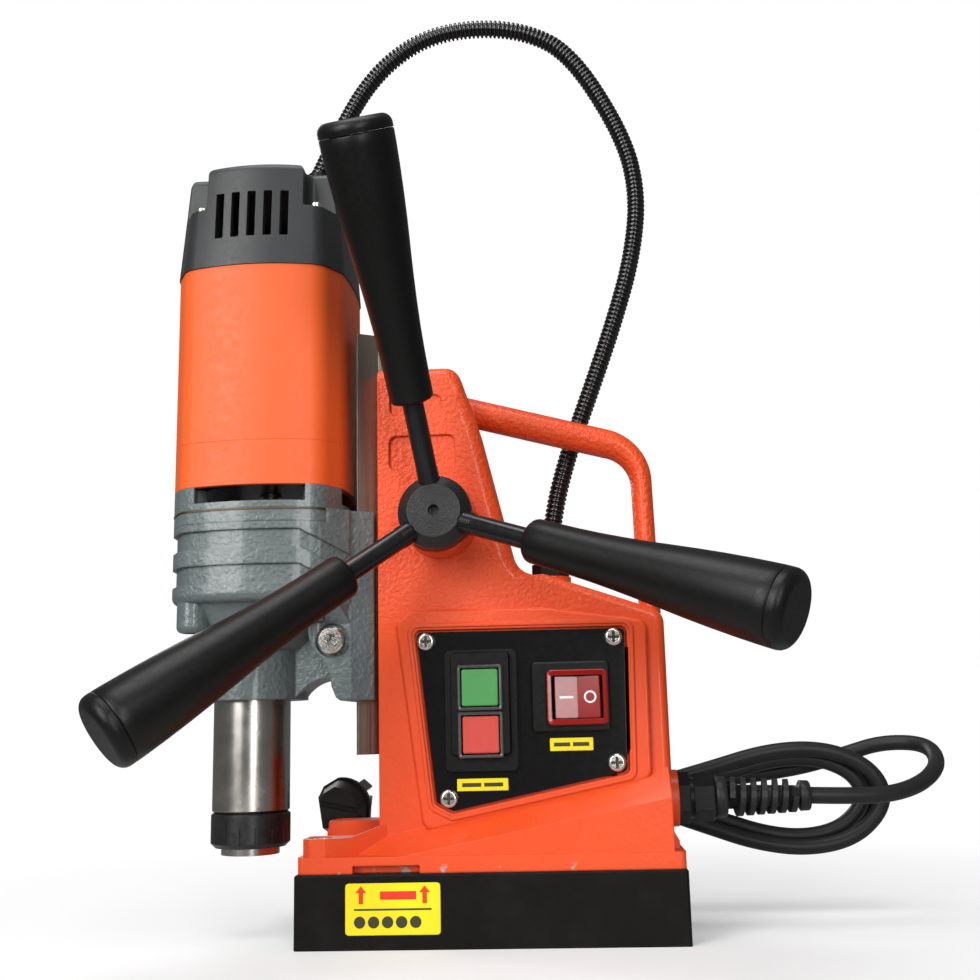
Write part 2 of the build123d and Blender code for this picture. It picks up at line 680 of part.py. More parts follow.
# Feed slide --------------------------------------------------------------------------------------------------
with BuildPart() as dovetail_plate:
    with BuildSketch(Plane.XY.offset(PLATE_BOTTOM)):
        with BuildLine():
            Polyline(
                (PLATE_OUTER, -DOVETAIL_WIDE), (PLATE_WAIST, -DOVETAIL_WAIST), (PLATE_INNER, -DOVETAIL_WIDE),
                (PLATE_INNER, DOVETAIL_WIDE), (PLATE_WAIST, DOVETAIL_WAIST), (PLATE_OUTER, DOVETAIL_WIDE),
                close=True,
            )
        make_face()
    extrude(amount=PLATE_TOP - PLATE_BOTTOM)
    chamfer(dovetail_plate.edges().filter_by(Axis.Z).filter_by_position(Axis.X, -66, -60), 0.8)
    with Locations(*[Location((PLATE_OUTER, 0, z), (0, -90, 0)) for z in (140, 188, 236)]):
        CounterBoreHole(2.6, 4.8, 6, 30)
save(dovetail_plate.part, "dovetail_plate")

RACK_PITCH_X = PX - FEED_RADIUS
TOOTH_PITCH = pi * FEED_MODULE
with BuildPart() as feed_rack:
    with Locations(((PLATE_INNER + RACK_PITCH_X - 1.25 * FEED_MODULE) / 2, 0, (RACK_BOTTOM + RACK_TOP) / 2)):
        Box(RACK_PITCH_X - 1.25 * FEED_MODULE - PLATE_INNER, 12, RACK_TOP - RACK_BOTTOM)
    # Teeth stand half a pitch off the pinion's height, so that its tooth enters a gap.
    first = int((RACK_BOTTOM - PZ) / TOOTH_PITCH) + 1
    last = int((RACK_TOP - PZ) / TOOTH_PITCH) - 1
    low, high = RACK_PITCH_X - 1.35 * FEED_MODULE, RACK_PITCH_X + 0.9 * FEED_MODULE
    flat = TOOTH_PITCH / 4 - BACKLASH * FEED_MODULE / 4
    with BuildSketch(xz(6)):
        for tooth in range(first, last + 1):
            z = PZ + (tooth + 0.5) * TOOTH_PITCH
            root = flat + (RACK_PITCH_X - low) * tan(PRESSURE)
            tip = flat - (high - RACK_PITCH_X) * tan(PRESSURE)
            with BuildLine():
                Polyline((low, z - root), (high, z - tip), (high, z + tip), (low, z + root), close=True)
            make_face()
    extrude(amount=12)
    with Locations(*[Location((PLATE_INNER, 0, z), (0, -90, 0)) for z in (140, 188, 236)]):
        Hole(2.0, 8)
save(feed_rack.part, "feed_rack")

RACK_SCREW = socket_screw(4.25, 4.4, 2.0, 21)
save(
    gathered([Location((PLATE_OUTER + 6, 0, z), (0, -90, 0)) * RACK_SCREW for z in (140, 188, 236)]),
    "rack_screws",
)

# Motor unit: gearbox -----------------------------------------------------------------------------------------
jaw_waist, jaw_wide = DOVETAIL_WAIST + SLIDE_CLEAR, DOVETAIL_WIDE + SLIDE_CLEAR
JAW_RIGHT = -55.8
BRACKET_BOTTOM, BRACKET_TOP = 112.0, 205.0
SHAFT_SPAN = ((MOTOR_PINION + MOTOR_GEAR) * MOTOR_MODULE / 2, (OUT_PINION + OUT_GEAR) * OUT_MODULE / 2)
AXES_GAP = MOTOR_X - SPINDLE_X
counter_back = (SHAFT_SPAN[0] ** 2 - SHAFT_SPAN[1] ** 2 + AXES_GAP**2) / (2 * AXES_GAP)
COUNTER = (MOTOR_X - counter_back, sqrt(SHAFT_SPAN[0] ** 2 - counter_back**2))  # countershaft's X, Y
SCREW_GRID = (60.0, 62.0)  # spacing of the gearbox and cap screws in X and Y
CORNER_SCREWS = [(MOTOR_X + dx, dy) for dx in (-30, 30) for dy in (-31, 31)]
CHANNEL_HIGH, CHANNEL_DEEP, CHANNEL_END = 9.0, 1.5, -88.4


def channel_ring(low):
    """Cutter for a channel round the gearbox, up to where it bends."""
    with BuildPart() as ring:
        add(motor_prism(low, low + CHANNEL_HIGH, MOTOR_HALF + 6))
        add(motor_prism(low - 1, low + 10, MOTOR_HALF - CHANNEL_DEEP), mode=Mode.SUBTRACT)
        with Locations((CHANNEL_END + 37, 0, low)):
            Box(74, 120, 40, mode=Mode.SUBTRACT)
    return ring.part


def channel_bend(low, side):
    """Cutter for the channel's sloping end on the front or rear shoulder."""
    high = low + CHANNEL_HIGH
    with BuildPart() as bend:
        with BuildSketch(xz(side * 60)):
            with BuildLine():
                Polyline(
                    (-90, low), (CHANNEL_END, low), (-64, low - 13), (-64, low - 4), (CHANNEL_END, high),
                    (-90, high), close=True,
                )
            make_face()
        extrude(amount=side * 45)
        with BuildSketch(Plane.XY.offset(140)):
            with BuildLine():
                Polyline(
                    (-104, side * 43.6), (-90, side * 42), (-79, side * 38), (CHEEK_RIDGE, side * 27.5),
                    (-60, side * 27.5), (-60, side * 60), (-104, side * 60), close=True,
                )
            make_face()
        extrude(amount=80, mode=Mode.INTERSECT)
    return bend.part


CHEEK_HALF, CHEEK_RIDGE, CHEEK_EDGE = 27.0, -66.5, 20.5  # half width, X of its ridge, half width at the jaws
FLOOR_TOP = 163.0  # inside floor of the gear cavity
def screw_boss(x, y, low, height):
    """Boss whose lower rim is rounded."""
    with BuildPart() as boss:
        with BuildSketch(Plane((x, y, low))):
            Circle(8)
        extrude(amount=height)
        fillet(boss.faces().sort_by(Axis.Z)[0].edges(), 3)
    return boss.part


with BuildPart() as gearbox_housing:
    add(motor_prism(GEARBOX_BOTTOM, GEARBOX_TOP - 6, MOTOR_HALF))
    fillet(gearbox_housing.edges().group_by(Axis.Z)[0], 4)
    with BuildSketch(Plane((SPINDLE_X, 0, NECK_BOTTOM))):
        Circle(NECK_R)
    extrude(amount=FLOOR_TOP - NECK_BOTTOM)
    # Fairing from the gearbox's floor down to the neck.
    with BuildSketch(Plane((0, 0, GEARBOX_BOTTOM + 2))):
        with Locations((SPINDLE_X + 8, 0)):
            RectangleRounded(72, 78, 16)
    with BuildSketch(Plane((0, 0, 138))):
        with Locations((SPINDLE_X + 2, 0)):
            RectangleRounded(55, 55, 27)
    loft()
    # Bracket that grips the dovetail plate; its front outline sweeps down round the clamp bolt.
    with BuildSketch(xz(0)):
        with BuildLine():
            Polyline((-90, BRACKET_TOP - 7), (-90, 158), (-87, 150))
            ThreePointArc((-87, 150), (-86.6, 141.5), (-81, 133))
            ThreePointArc((-81, 133), (-77.5, 127), (-75.8, 119))
            Polyline(
                (-75.8, 119), (-73.5, BRACKET_BOTTOM + 1.5), (-71.5, BRACKET_BOTTOM), (JAW_RIGHT, BRACKET_BOTTOM),
                (JAW_RIGHT, BRACKET_TOP), (-74, BRACKET_TOP), (-74, BRACKET_TOP - 7), (-90, BRACKET_TOP - 7),
            )
        make_face()
    extrude(amount=CHEEK_HALF, both=True)
    # Shoulders that carry the gearbox's front and rear faces over to the bracket.
    for side in (-1, 1):
        with BuildSketch(Plane.XY.offset(BRACKET_TOP)):
            with BuildLine():
                Polyline(
                    (-104, side * 20), (-104, side * 45), (-90, side * 43.5), (-79, side * 39.5),
                    (CHEEK_RIDGE, side * 29), (CHEEK_RIDGE, side * 20), close=True,
                )
            make_face()
        extrude(amount=-43)
        with BuildSketch(Plane.XY.offset(BRACKET_TOP - 43)):
            with BuildLine():
                Polyline(
                    (-104, side * 20), (-104, side * 45), (-90, side * 43.5), (-79, side * 39.5),
                    (CHEEK_RIDGE, side * 29), (CHEEK_RIDGE, side * 20), close=True,
                )
            make_face()
        with BuildSketch(Plane.XY.offset(149)):
            with BuildLine():
                Polyline(
                    (-94, side * 18), (-94, side * 27), (-88, side * 27), (-79, side * 27),
                    (CHEEK_RIDGE, side * 26.9), (CHEEK_RIDGE, side * 18), close=True,
                )
            make_face()
        loft()
    # Bevel from the bracket's ridge back to the jaws.
    for side in (-1, 1):
        with BuildSketch(Plane.XY.offset(BRACKET_BOTTOM - 1)):
            with BuildLine():
                Polyline(
                    (CHEEK_RIDGE, side * 31), (CHEEK_RIDGE, side * CHEEK_HALF), (JAW_RIGHT, side * CHEEK_EDGE),
                    (JAW_RIGHT + 2, side * CHEEK_EDGE), (JAW_RIGHT + 2, side * 31), close=True,
                )
            make_face()
        extrude(amount=BRACKET_TOP - BRACKET_BOTTOM + 2, mode=Mode.SUBTRACT)
    # Web between the neck and the bracket, hollowed from below.
    with BuildSketch(xz(0)):
        with BuildLine():
            Polyline((-112, 114), (-96.5, 114))
            ThreePointArc((-96.5, 114), (-89.5, 120.8), (-80, 123.2))
            Polyline((-80, 123.2), (-72, 123.2), (-72, 164), (-112, 164), (-112, 114))
        make_face()
    extrude(amount=13, both=True)
    # Corner screw bosses under the gearbox.
    for x, y in CORNER_SCREWS[:2]:
        add(screw_boss(x, y, 146, 20))
    # Two channels round the outside; at the bracket end they turn down.
    for low in (185.5, 168.5):
        add(channel_ring(low), mode=Mode.SUBTRACT)
        add(channel_bend(low, -1), mode=Mode.SUBTRACT)
        add(channel_bend(low, 1), mode=Mode.SUBTRACT)
    # Dovetail, and the slit that lets the clamp bolt close it.
    with BuildSketch(Plane.XY.offset(BRACKET_BOTTOM - 1)):
        with BuildLine():
            Polyline(
                (PLATE_OUTER - SLIDE_CLEAR, -jaw_wide), (PLATE_WAIST, -jaw_waist), (PLATE_WAIST + 3, -jaw_waist),
                (PLATE_WAIST + 3, jaw_waist), (PLATE_WAIST, jaw_waist), (PLATE_OUTER - SLIDE_CLEAR, jaw_wide),
                close=True,
            )
        make_face()
    extrude(amount=BRACKET_TOP - BRACKET_BOTTOM + 2, mode=Mode.SUBTRACT)
    with BuildSketch(Plane.XY.offset(BRACKET_BOTTOM - 1)):
        with Locations((-70, -6)):
            Rectangle(12, 1.6)
    extrude(amount=44, mode=Mode.SUBTRACT)
    # Seat and bore of the clamp bolt.
    with BuildSketch(xz(-28)):
        with Locations(CLAMP_BOLT):
            Circle(8.2)
    extrude(amount=-4, mode=Mode.SUBTRACT)
    with BuildSketch(xz(-28)):
        with Locations(CLAMP_BOLT):
            Circle(4.1)
    extrude(amount=-46, mode=Mode.SUBTRACT)
    # Gear cavity and the spindle's bore.
    with BuildSketch(Plane((MOTOR_X, 0, FLOOR_TOP))):
        add(motor_section(MOTOR_HALF - 4.5, 4))
    extrude(amount=60, mode=Mode.SUBTRACT)
    with BuildSketch(Plane((SPINDLE_X, 0, NECK_BOTTOM - 1))):
        Circle(SPINDLE_R + 0.9)
    extrude(amount=7, mode=Mode.SUBTRACT)
    with BuildSketch(Plane((SPINDLE_X, 0, 119))):
        Circle(23.5)
    extrude(amount=50, mode=Mode.SUBTRACT)
    add(motor_prism(GEARBOX_TOP - 6, 240, MOTOR_HALF + 0.3), mode=Mode.SUBTRACT)
    # Corner screw holes.
    with BuildSketch(Plane.XY.offset(140)):
        with Locations(*CORNER_SCREWS):
            Circle(2.6)
    extrude(amount=80, mode=Mode.SUBTRACT)
    with BuildSketch(Plane.XY.offset(140)):
        with Locations(*CORNER_SCREWS):
            Circle(4.9)
    extrude(amount=15, mode=Mode.SUBTRACT)
    with BuildSketch(Plane((*COUNTER, 156))):
        Circle(8)
    extrude(amount=8, mode=Mode.SUBTRACT)
save(gearbox_housing.part, "gearbox_housing")
print("gearbox solids", len(gearbox_housing.part.solids()))

GEARBOX_SCREW = socket_screw(4.5, 4.6, 2.5, 40)
save(
    gathered([Location((x, y, 155), (180, 0, 0)) * GEARBOX_SCREW for x, y in CORNER_SCREWS]),
    "gearbox_screws",
)

with BuildPart() as clamp_bolt:
    add(facing_front(socket_screw(6.6, 8.0, 4.0, 40), CLAMP_BOLT[0], -24, CLAMP_BOLT[1]))
save(clamp_bolt.part, "clamp_bolt")


def bearing(x, y, bottom, height, bore, outer):
    """Ball bearing as its two rings with the shield between them."""
    with BuildPart() as ring:
        with BuildSketch(Plane((x, y, bottom))):
            Circle(outer)
            Circle(bore, mode=Mode.SUBTRACT)
        extrude(amount=height)
        for level in (bottom, bottom + height - 0.5):
            with BuildSketch(Plane((x, y, level))):
                Circle(bore + (outer - bore) * 0.72)
                Circle(bore + (outer - bore) * 0.3, mode=Mode.SUBTRACT)
            extrude(amount=0.5, mode=Mode.SUBTRACT)
    return ring.part


SHAFT_FIT = 0.03
spindle_bearings = [
    bearing(SPINDLE_X, 0, 119.5, 12, 12.5 + SHAFT_FIT, 23.5),
    bearing(SPINDLE_X, 0, 141, 12, 12.5 + SHAFT_FIT, 23.5),
]

LID_BOTTOM = GEARBOX_TOP - 6
with BuildPart() as gearbox_lid:
    add(motor_prism(LID_BOTTOM, GEARBOX_TOP, MOTOR_HALF))
    with BuildSketch(Plane((0, 0, LID_BOTTOM - 1))):
        with Locations(*CORNER_SCREWS):
            Circle(2.6)
        with Locations((MOTOR_X, 0)):
            Circle(9)
        with Locations(COUNTER):
            Circle(7)
    extrude(amount=20, mode=Mode.SUBTRACT)
save(gearbox_lid.part, "gearbox_lid")
save(
    gathered(spindle_bearings + [
        bearing(MOTOR_X, 0, LID_BOTTOM, 6, 4 + SHAFT_FIT, 9),
        bearing(MOTOR_X, 0, CASING_TOP - 9, 6, 4 + SHAFT_FIT, 11),
        bearing(*COUNTER, LID_BOTTOM, 5, 4 + SHAFT_FIT, 7),
        bearing(*COUNTER, 156, 5, 4 + SHAFT_FIT, 8),
    ]),
    "bearings",
)

# Motor unit: motor -------------------------------------------------------------------------------------------
GASKET_TOP = GEARBOX_TOP + 0.8
FAN_WINDOW_LOW = 208.4
with BuildPart() as gasket:
    add(motor_prism(GEARBOX_TOP, GASKET_TOP, MOTOR_HALF + 0.2))
    add(motor_prism(GEARBOX_TOP - 1, GASKET_TOP + 1, MOTOR_HALF - 6, 4), mode=Mode.SUBTRACT)
    with BuildSketch(Plane((0, 0, GEARBOX_TOP - 1))):
        with Locations(*CORNER_SCREWS):
            Circle(2.6)
    extrude(amount=4, mode=Mode.SUBTRACT)
save(gasket.part, "gasket")

with BuildPart() as fan_ring:
    add(motor_prism(GASKET_TOP, FAN_RING_TOP, MOTOR_HALF))
    add(motor_prism(GASKET_TOP - 1, FAN_RING_TOP + 1, MOTOR_HALF - 6, 4), mode=Mode.SUBTRACT)
    # Air windows on all four sides, open at the top under the casing.
    with Locations((MOTOR_X, 0, (FAN_WINDOW_LOW + FAN_RING_TOP) / 2)):
        window_height = FAN_RING_TOP - FAN_WINDOW_LOW + 0.02
        Box(55, 2 * MOTOR_HALF + 14, window_height, mode=Mode.SUBTRACT)
        Box(2 * MOTOR_HALF + 4, 52, window_height, mode=Mode.SUBTRACT)
    for x, y in CORNER_SCREWS:
        with BuildSketch(Plane((x, y, GASKET_TOP))):
            Circle(6)
            Circle(2.6, mode=Mode.SUBTRACT)
        extrude(amount=FAN_RING_TOP - GASKET_TOP)
save(fan_ring.part, "fan_ring")

with BuildPart() as casing_skirt:
    add(motor_prism(FAN_RING_TOP, SKIRT_TOP, MOTOR_HALF))
    add(motor_prism(FAN_RING_TOP - 1, SKIRT_TOP + 1, MOTOR_HALF - 3, 5), mode=Mode.SUBTRACT)
save(casing_skirt.part, "casing_skirt")

with BuildPart() as motor_casing:
    add(motor_prism(SKIRT_TOP, CASING_TOP, MOTOR_HALF))
    add(motor_prism(SKIRT_TOP - 1, CASING_TOP - 12, MOTOR_HALF - 3, 5), mode=Mode.SUBTRACT)
    with BuildSketch(Plane((MOTOR_X, 0, CASING_TOP - 20))):
        Circle(11)
        with GridLocations(52, 52, 2, 2):
            Circle(9)
    extrude(amount=30, mode=Mode.SUBTRACT)
save(motor_casing.part, "motor_casing")

CAP_TOP_HALF = 40.5
CAP_SHELF = 363.0  # where the corner notches end
with BuildPart() as motor_cap:
    with BuildSketch(Plane((MOTOR_X, 0, CASING_TOP))):
        add(motor_section(MOTOR_HALF + 0.5))
    with BuildSketch(Plane((MOTOR_X, 0, CAP_TOP))):
        add(motor_section(CAP_TOP_HALF, 8))
    loft()
    # Corner notches for the cap screws.
    with BuildSketch(Plane((MOTOR_X, 0, CAP_SHELF))):
        with GridLocations(82, 82, 2, 2):
            RectangleRounded(32, 28, 4)
    extrude(amount=40, mode=Mode.SUBTRACT)
    fillet(motor_cap.faces().sort_by(Axis.Z)[-1].edges(), 4.5)
    with BuildSketch(Plane((MOTOR_X, 0, CASING_TOP - 1))):
        add(motor_section(MOTOR_HALF - 3.5, 4))
        with GridLocations(82, 82, 2, 2):
            Rectangle(38, 34, mode=Mode.SUBTRACT)
    with BuildSketch(Plane((MOTOR_X, 0, CAP_TOP - 6))):
        add(motor_section(CAP_TOP_HALF - 4, 4))
        with GridLocations(82, 82, 2, 2):
            Rectangle(38, 34, mode=Mode.SUBTRACT)
    loft(mode=Mode.SUBTRACT)
    with BuildSketch(Plane((MOTOR_X, 0, CASING_TOP - 1))):
        with GridLocations(*SCREW_GRID, 2, 2):
            Circle(2.2)
    extrude(amount=60, mode=Mode.SUBTRACT)
    # Cooling slots, front and rear.
    with BuildSketch(xz(-60)):
        with Locations((MOTOR_X - 0.9, 358)):
            with GridLocations(8.4, 1, 5, 1):
                RectangleRounded(4.2, 25, 0.5)
    extrude(amount=-120, mode=Mode.SUBTRACT)
    # Seat and bore of the conduit fitting.
    with BuildSketch(Plane((CONDUIT_END_X, 14, CAP_TOP - 8))):
        Circle(8)
    extrude(amount=9)
    with BuildSketch(Plane((CONDUIT_END_X, 14, CAP_TOP - 10))):
        Circle(5.5)
    extrude(amount=20, mode=Mode.SUBTRACT)
save(motor_cap.part, "motor_cap")
print("cap solids", len(motor_cap.part.solids()))

CAP_SCREW = socket_screw(4.0, 4.0, 2.1, 30)
save(
    gathered([Location((MOTOR_X + x, y, CAP_SHELF)) * CAP_SCREW for x in (-30, 30) for y in (-31, 31)]),
    "cap_screws",
)

STATOR_BOTTOM, STATOR_TOP = 244.0, 292.0
with BuildPart() as stator:
    add(motor_prism(STATOR_BOTTOM, STATOR_TOP, MOTOR_HALF - 3.2, 5))
    with BuildSketch(Plane((MOTOR_X, 0, STATOR_BOTTOM - 1))):
        Circle(24)
        with GridLocations(1, 66, 1, 2):
            RectangleRounded(40, 9, 3)
    extrude(amount=60, mode=Mode.SUBTRACT)
save(stator.part, "stator")

holders = []
for side in (-1, 1):
    with BuildPart() as holder:
        with Locations((MOTOR_X + side * 26, 0, 303)):
            Box(22, 12, 10)
        with Locations((MOTOR_X + side * 31, 0, 309)):
            Box(10, 18, 18)
    holders.append(holder.part)
save(gathered(holders), "brush_holders")

# Armature ----------------------------------------------------------------------------------------------------


def spur_gear(x, y, bottom, top, outline, bore=0.0):
    """Gear about a vertical axis."""
    with BuildPart() as gear:
        with BuildSketch(Plane((x, y, bottom))):
            with BuildLine():
                Polyline(*outline, close=True)
            make_face()
            if bore:
                Circle(bore, mode=Mode.SUBTRACT)
        extrude(amount=top - bottom)
    return gear.part


def turned(x, y, steps):
    """Stepped round piece: (radius, bottom, top) for each step."""
    with BuildPart() as piece:
        for radius, bottom, top in steps:
            with BuildSketch(Plane((x, y, bottom))):
                Circle(radius)
            extrude(amount=top - bottom)
    return piece.part


to_counter = atan2(COUNTER[1], COUNTER[0] - MOTOR_X)
from_counter = atan2(COUNTER[1], COUNTER[0] - SPINDLE_X)
with BuildPart() as motor_shaft:
    add(turned(MOTOR_X, 0, [(4, 193, 327), (5.5, 218, 320)]))
    add(spur_gear(MOTOR_X, 0, 182, 194, gear_points(MOTOR_MODULE, MOTOR_PINION, 0.5, 0.8, to_counter)))
save(motor_shaft.part, "motor_shaft")

with BuildPart() as armature_core:
    add(turned(MOTOR_X, 0, [(23.4, 246, 290)]))
    add(turned(MOTOR_X, 0, [(18, 238, 298)]))
    with BuildSketch(Plane((MOTOR_X, 0, 245))):
        with PolarLocations(23, 16):
            Rectangle(5, 1.4)
    extrude(amount=46, mode=Mode.SUBTRACT)
    add(turned(MOTOR_X, 0, [(5.5, 230, 300)]), mode=Mode.SUBTRACT)

with BuildPart() as commutator:
    add(turned(MOTOR_X, 0, [(14, 299, 317)]))
    add(turned(MOTOR_X, 0, [(5.5, 298, 318)]), mode=Mode.SUBTRACT)
save(gathered([armature_core.part, commutator.part]), "armature_core")

with BuildPart() as cooling_fan:
    add(turned(MOTOR_X, 0, [(9, 219, 232), (34, 219, 221)]))
    with BuildSketch(Plane((MOTOR_X, 0, 220))):
        with PolarLocations(21, 9):
            Rectangle(24, 1.8, rotation=28)
    extrude(amount=11)
    add(turned(MOTOR_X, 0, [(5.5, 210, 240)]), mode=Mode.SUBTRACT)
save(cooling_fan.part, "cooling_fan")

# Countershaft and spindle ------------------------------------------------------------------------------------
with BuildPart() as countershaft:
    add(turned(*COUNTER, [(4, 156.5, 202.5)]))
    add(spur_gear(*COUNTER, 164, 179, gear_points(OUT_MODULE, OUT_PINION, 0.4, 0.85, from_counter + pi)))
save(countershaft.part, "countershaft")
GEAR_PHASE = to_counter + pi + pi / MOTOR_GEAR
save(
    spur_gear(*COUNTER, 183, 193, gear_points(MOTOR_MODULE, MOTOR_GEAR, -0.5, 0.8, GEAR_PHASE), 4.0),
    "counter_gear",
)

BORE_TOP = SPINDLE_BOTTOM + ARBOR_DEPTH
with BuildPart() as spindle:
    add(turned(SPINDLE_X, 0, [
        (14.3, SPINDLE_BOTTOM, COLLAR_BOTTOM + 1), (16.0, COLLAR_BOTTOM, COLLAR_TOP),
        (SPINDLE_R, COLLAR_TOP, 118.8), (12.5, 118, 158), (8, 156, 182),
    ]))
    chamfer(
        spindle.edges().filter_by(GeomType.CIRCLE).filter_by_position(Axis.Z, COLLAR_TOP - 0.1, COLLAR_TOP + 0.1)
        .sort_by(lambda e: e.radius)[-1:], 1.2)
    add(turned(SPINDLE_X, 0, [(ARBOR_R, SPINDLE_BOTTOM - 1, BORE_TOP)]), mode=Mode.SUBTRACT)
save(spindle.part, "spindle")
OUT_PHASE = from_counter + pi / OUT_GEAR
save(
    spur_gear(SPINDLE_X, 0, 166, 177, gear_points(OUT_MODULE, OUT_GEAR, -0.4, 0.85, OUT_PHASE), 8.0),
    "spindle_gear",
)

NOTCH_HEIGHT = 10.0
with BuildPart() as release_collar:
    with BuildSketch(Plane((SPINDLE_X, 0, COLLAR_BOTTOM))):
        Circle(SPINDLE_R + 0.4)
    extrude(amount=COLLAR_TOP - COLLAR_BOTTOM - 0.1)
    chamfer(release_collar.faces().sort_by(Axis.Z)[0].edges(), 2.2)
    chamfer(release_collar.faces().sort_by(Axis.Z)[-1].edges(), 0.8)
    # Short finger notches round the lower half.
    with BuildSketch(Plane((SPINDLE_X, 0, COLLAR_BOTTOM - 1))):
        with PolarLocations(SPINDLE_R + 0.6, 16):
            Rectangle(1.2, 0.9)
    extrude(amount=NOTCH_HEIGHT + 1, mode=Mode.SUBTRACT)
    with BuildSketch(Plane((SPINDLE_X, 0, COLLAR_BOTTOM - 1))):
        Circle(16.06)
    extrude(amount=COLLAR_TOP, mode=Mode.SUBTRACT)
save(release_collar.part, "release_collar")

# Conduit between the motor and the stand ---------------------------------------------------------------------
FITTING = (CONDUIT_END_X, 14.0)
FITTING_TOP = CAP_TOP + 18
with BuildPart() as conduit_fitting:
    add(turned(*FITTING, [(5.5, CAP_TOP - 6, CAP_TOP + 2), (6.2, CAP_TOP + 5, FITTING_TOP)]))
    with BuildSketch(Plane((*FITTING, CAP_TOP + 1))):
        RegularPolygon(8, 6)
    extrude(amount=6)
save(conduit_fitting.part, "conduit_fitting")

STAND_GLAND = (31.5, 13.0)
STAND_GLAND_BASE, STAND_GLAND_TOP = 173.0, 187.0
with BuildPart() as conduit_gland:
    add(turned(*STAND_GLAND, [(6.5, 166, 175), (7, 173, STAND_GLAND_TOP)]))
    with BuildSketch(Plane((*STAND_GLAND, STAND_GLAND_BASE))):
        RegularPolygon(9.6, 6)
    extrude(amount=7)
save(conduit_gland.part, "conduit_gland")

CONDUIT_LOWER = [
    (31.5, 13, STAND_GLAND_TOP), (34, 14, 208), (43, 17, 240), (56, 19, 274), (70, 20, 312), (82, 20, 350),
    (87, 20, 388), (80, 20, 424), (66, 19.5, 450),
]
CONDUIT_UPPER = [
    (66, 19.5, 450), (52.42, 19.015, 475.22), (26, 18, 490.5), (-6, 17, 493.5), (-34, 16, 487), (-58, 15, 468),
    (-76, 14.5, 440),
    (FITTING[0], 14, FITTING_TOP),
]
save(tube(CONDUIT_LOWER, CONDUIT_D), "conduit_lower")
save(tube(CONDUIT_UPPER, CONDUIT_D), "conduit_upper")

# Power cord --------------------------------------------------------------------------------------------------
CORD_Z = 61.7
with BuildPart() as cord_gland:
    with BuildSketch(Plane(origin=(78, 0, CORD_Z), z_dir=(1, 0, 0))):
        Circle(7.9)
    extrude(amount=30)
    with BuildSketch(Plane(origin=(90, 0, CORD_Z), z_dir=(1, 0, 0))):
        RegularPolygon(12.4, 6)
    extrude(amount=5.5)
    with BuildSketch(Plane(origin=(95, 0, CORD_Z), z_dir=(1, 0, 0))):
        Circle(9.6)
    extrude(amount=3)
    with BuildSketch(Plane(origin=(97.5, 0, CORD_Z), z_dir=(1, 0, 0))):
        RegularPolygon(11.4, 6)
    extrude(amount=10.5)
    chamfer(cord_gland.faces().sort_by(Axis.X)[-1].edges(), 1)
save(cord_gland.part, "cord_gland")

RELIEF_START, RELIEF_END = 108.0, 153.5
RIB_PITCH, RIBS = 6.2, 6
with BuildPart() as strain_relief:
    with BuildSketch(Plane(origin=(RELIEF_START, 0, CORD_Z), z_dir=(1, 0, 0))):
        Circle(5.4)
    extrude(amount=RELIEF_END - RELIEF_START)
    with BuildSketch(Plane(origin=(RELIEF_START, 0, CORD_Z), z_dir=(1, 0, 0))):
        Circle(9.6)
    extrude(amount=6)
    with BuildSketch(Plane(origin=(RELIEF_END - 8, 0, CORD_Z), z_dir=(1, 0, 0))):
        Circle(7.4)
    extrude(amount=8)
    for rib in range(RIBS):
        x = RELIEF_START + 7.2 + rib * RIB_PITCH * 0.86
        with BuildSketch(Plane(origin=(x, 0, CORD_Z), z_dir=(1, 0, 0))):
            Circle(9.4 - 0.3 * rib)
        extrude(amount=2.6)
save(strain_relief.part, "strain_relief")

LEAD = [
    (RELIEF_END, 0, CORD_Z), (172, 0.5, 61), (194, 4, 61), (213, 14, 66), (226, 31, 75), (226, 52, 84),
    (206, 63, 85), (186, 64, 79), (172, 64, 74),
]
save(tube(LEAD, CORD_D), "power_cord")

HANK_NEAR, HANK_FAR = 46.0, 74.0
TIE_X = 81.0  # the cable tie pinches the turns here
HANK_RIGHT_LOBE = [(100, 43), (116, 37), (137, 31), (160, 28), (178, 29), (196, 38), (207, 54), (204, 67),
                   (189, 80), (158, 88), (130, 86), (108, 79)]
HANK_LEFT_LOBE = [(55, 81), (25, 87), (-5, 85), (-26, 74), (-35, 58), (-28, 42), (-8, 33), (20, 30), (50, 36)]
with BuildPart() as cord_hank:
    with BuildSketch(xz(HANK_FAR)):
        with BuildLine():
            Polyline(
                (TIE_X - 5, 48), (TIE_X + 5, 48), *HANK_RIGHT_LOBE, (TIE_X + 5, 71), (TIE_X - 5, 71),
                *HANK_LEFT_LOBE, close=True,
            )
        make_face()
        with Locations((152, 58)):
            RectangleRounded(58, 14, 6.9, mode=Mode.SUBTRACT)
        with Locations((16, 58)):
            RectangleRounded(58, 20, 9.9, mode=Mode.SUBTRACT)
    extrude(amount=HANK_FAR - HANK_NEAR)
save(cord_hank.part, "power_cord_hank")

# The tail runs from the hank's left end to the plug's lower corner.
PLUG_BACK, PLUG_FACE = 47.0, 64.0  # Y of the plug's grip side and of the side that carries the pins
TAIL = [(-28, 60, 50), (-42, 60, 46), (-56, 57, 45), (-70, 55, 47), (-79, 54, 49)]
save(tube(TAIL, CORD_D), "power_cord_tail")

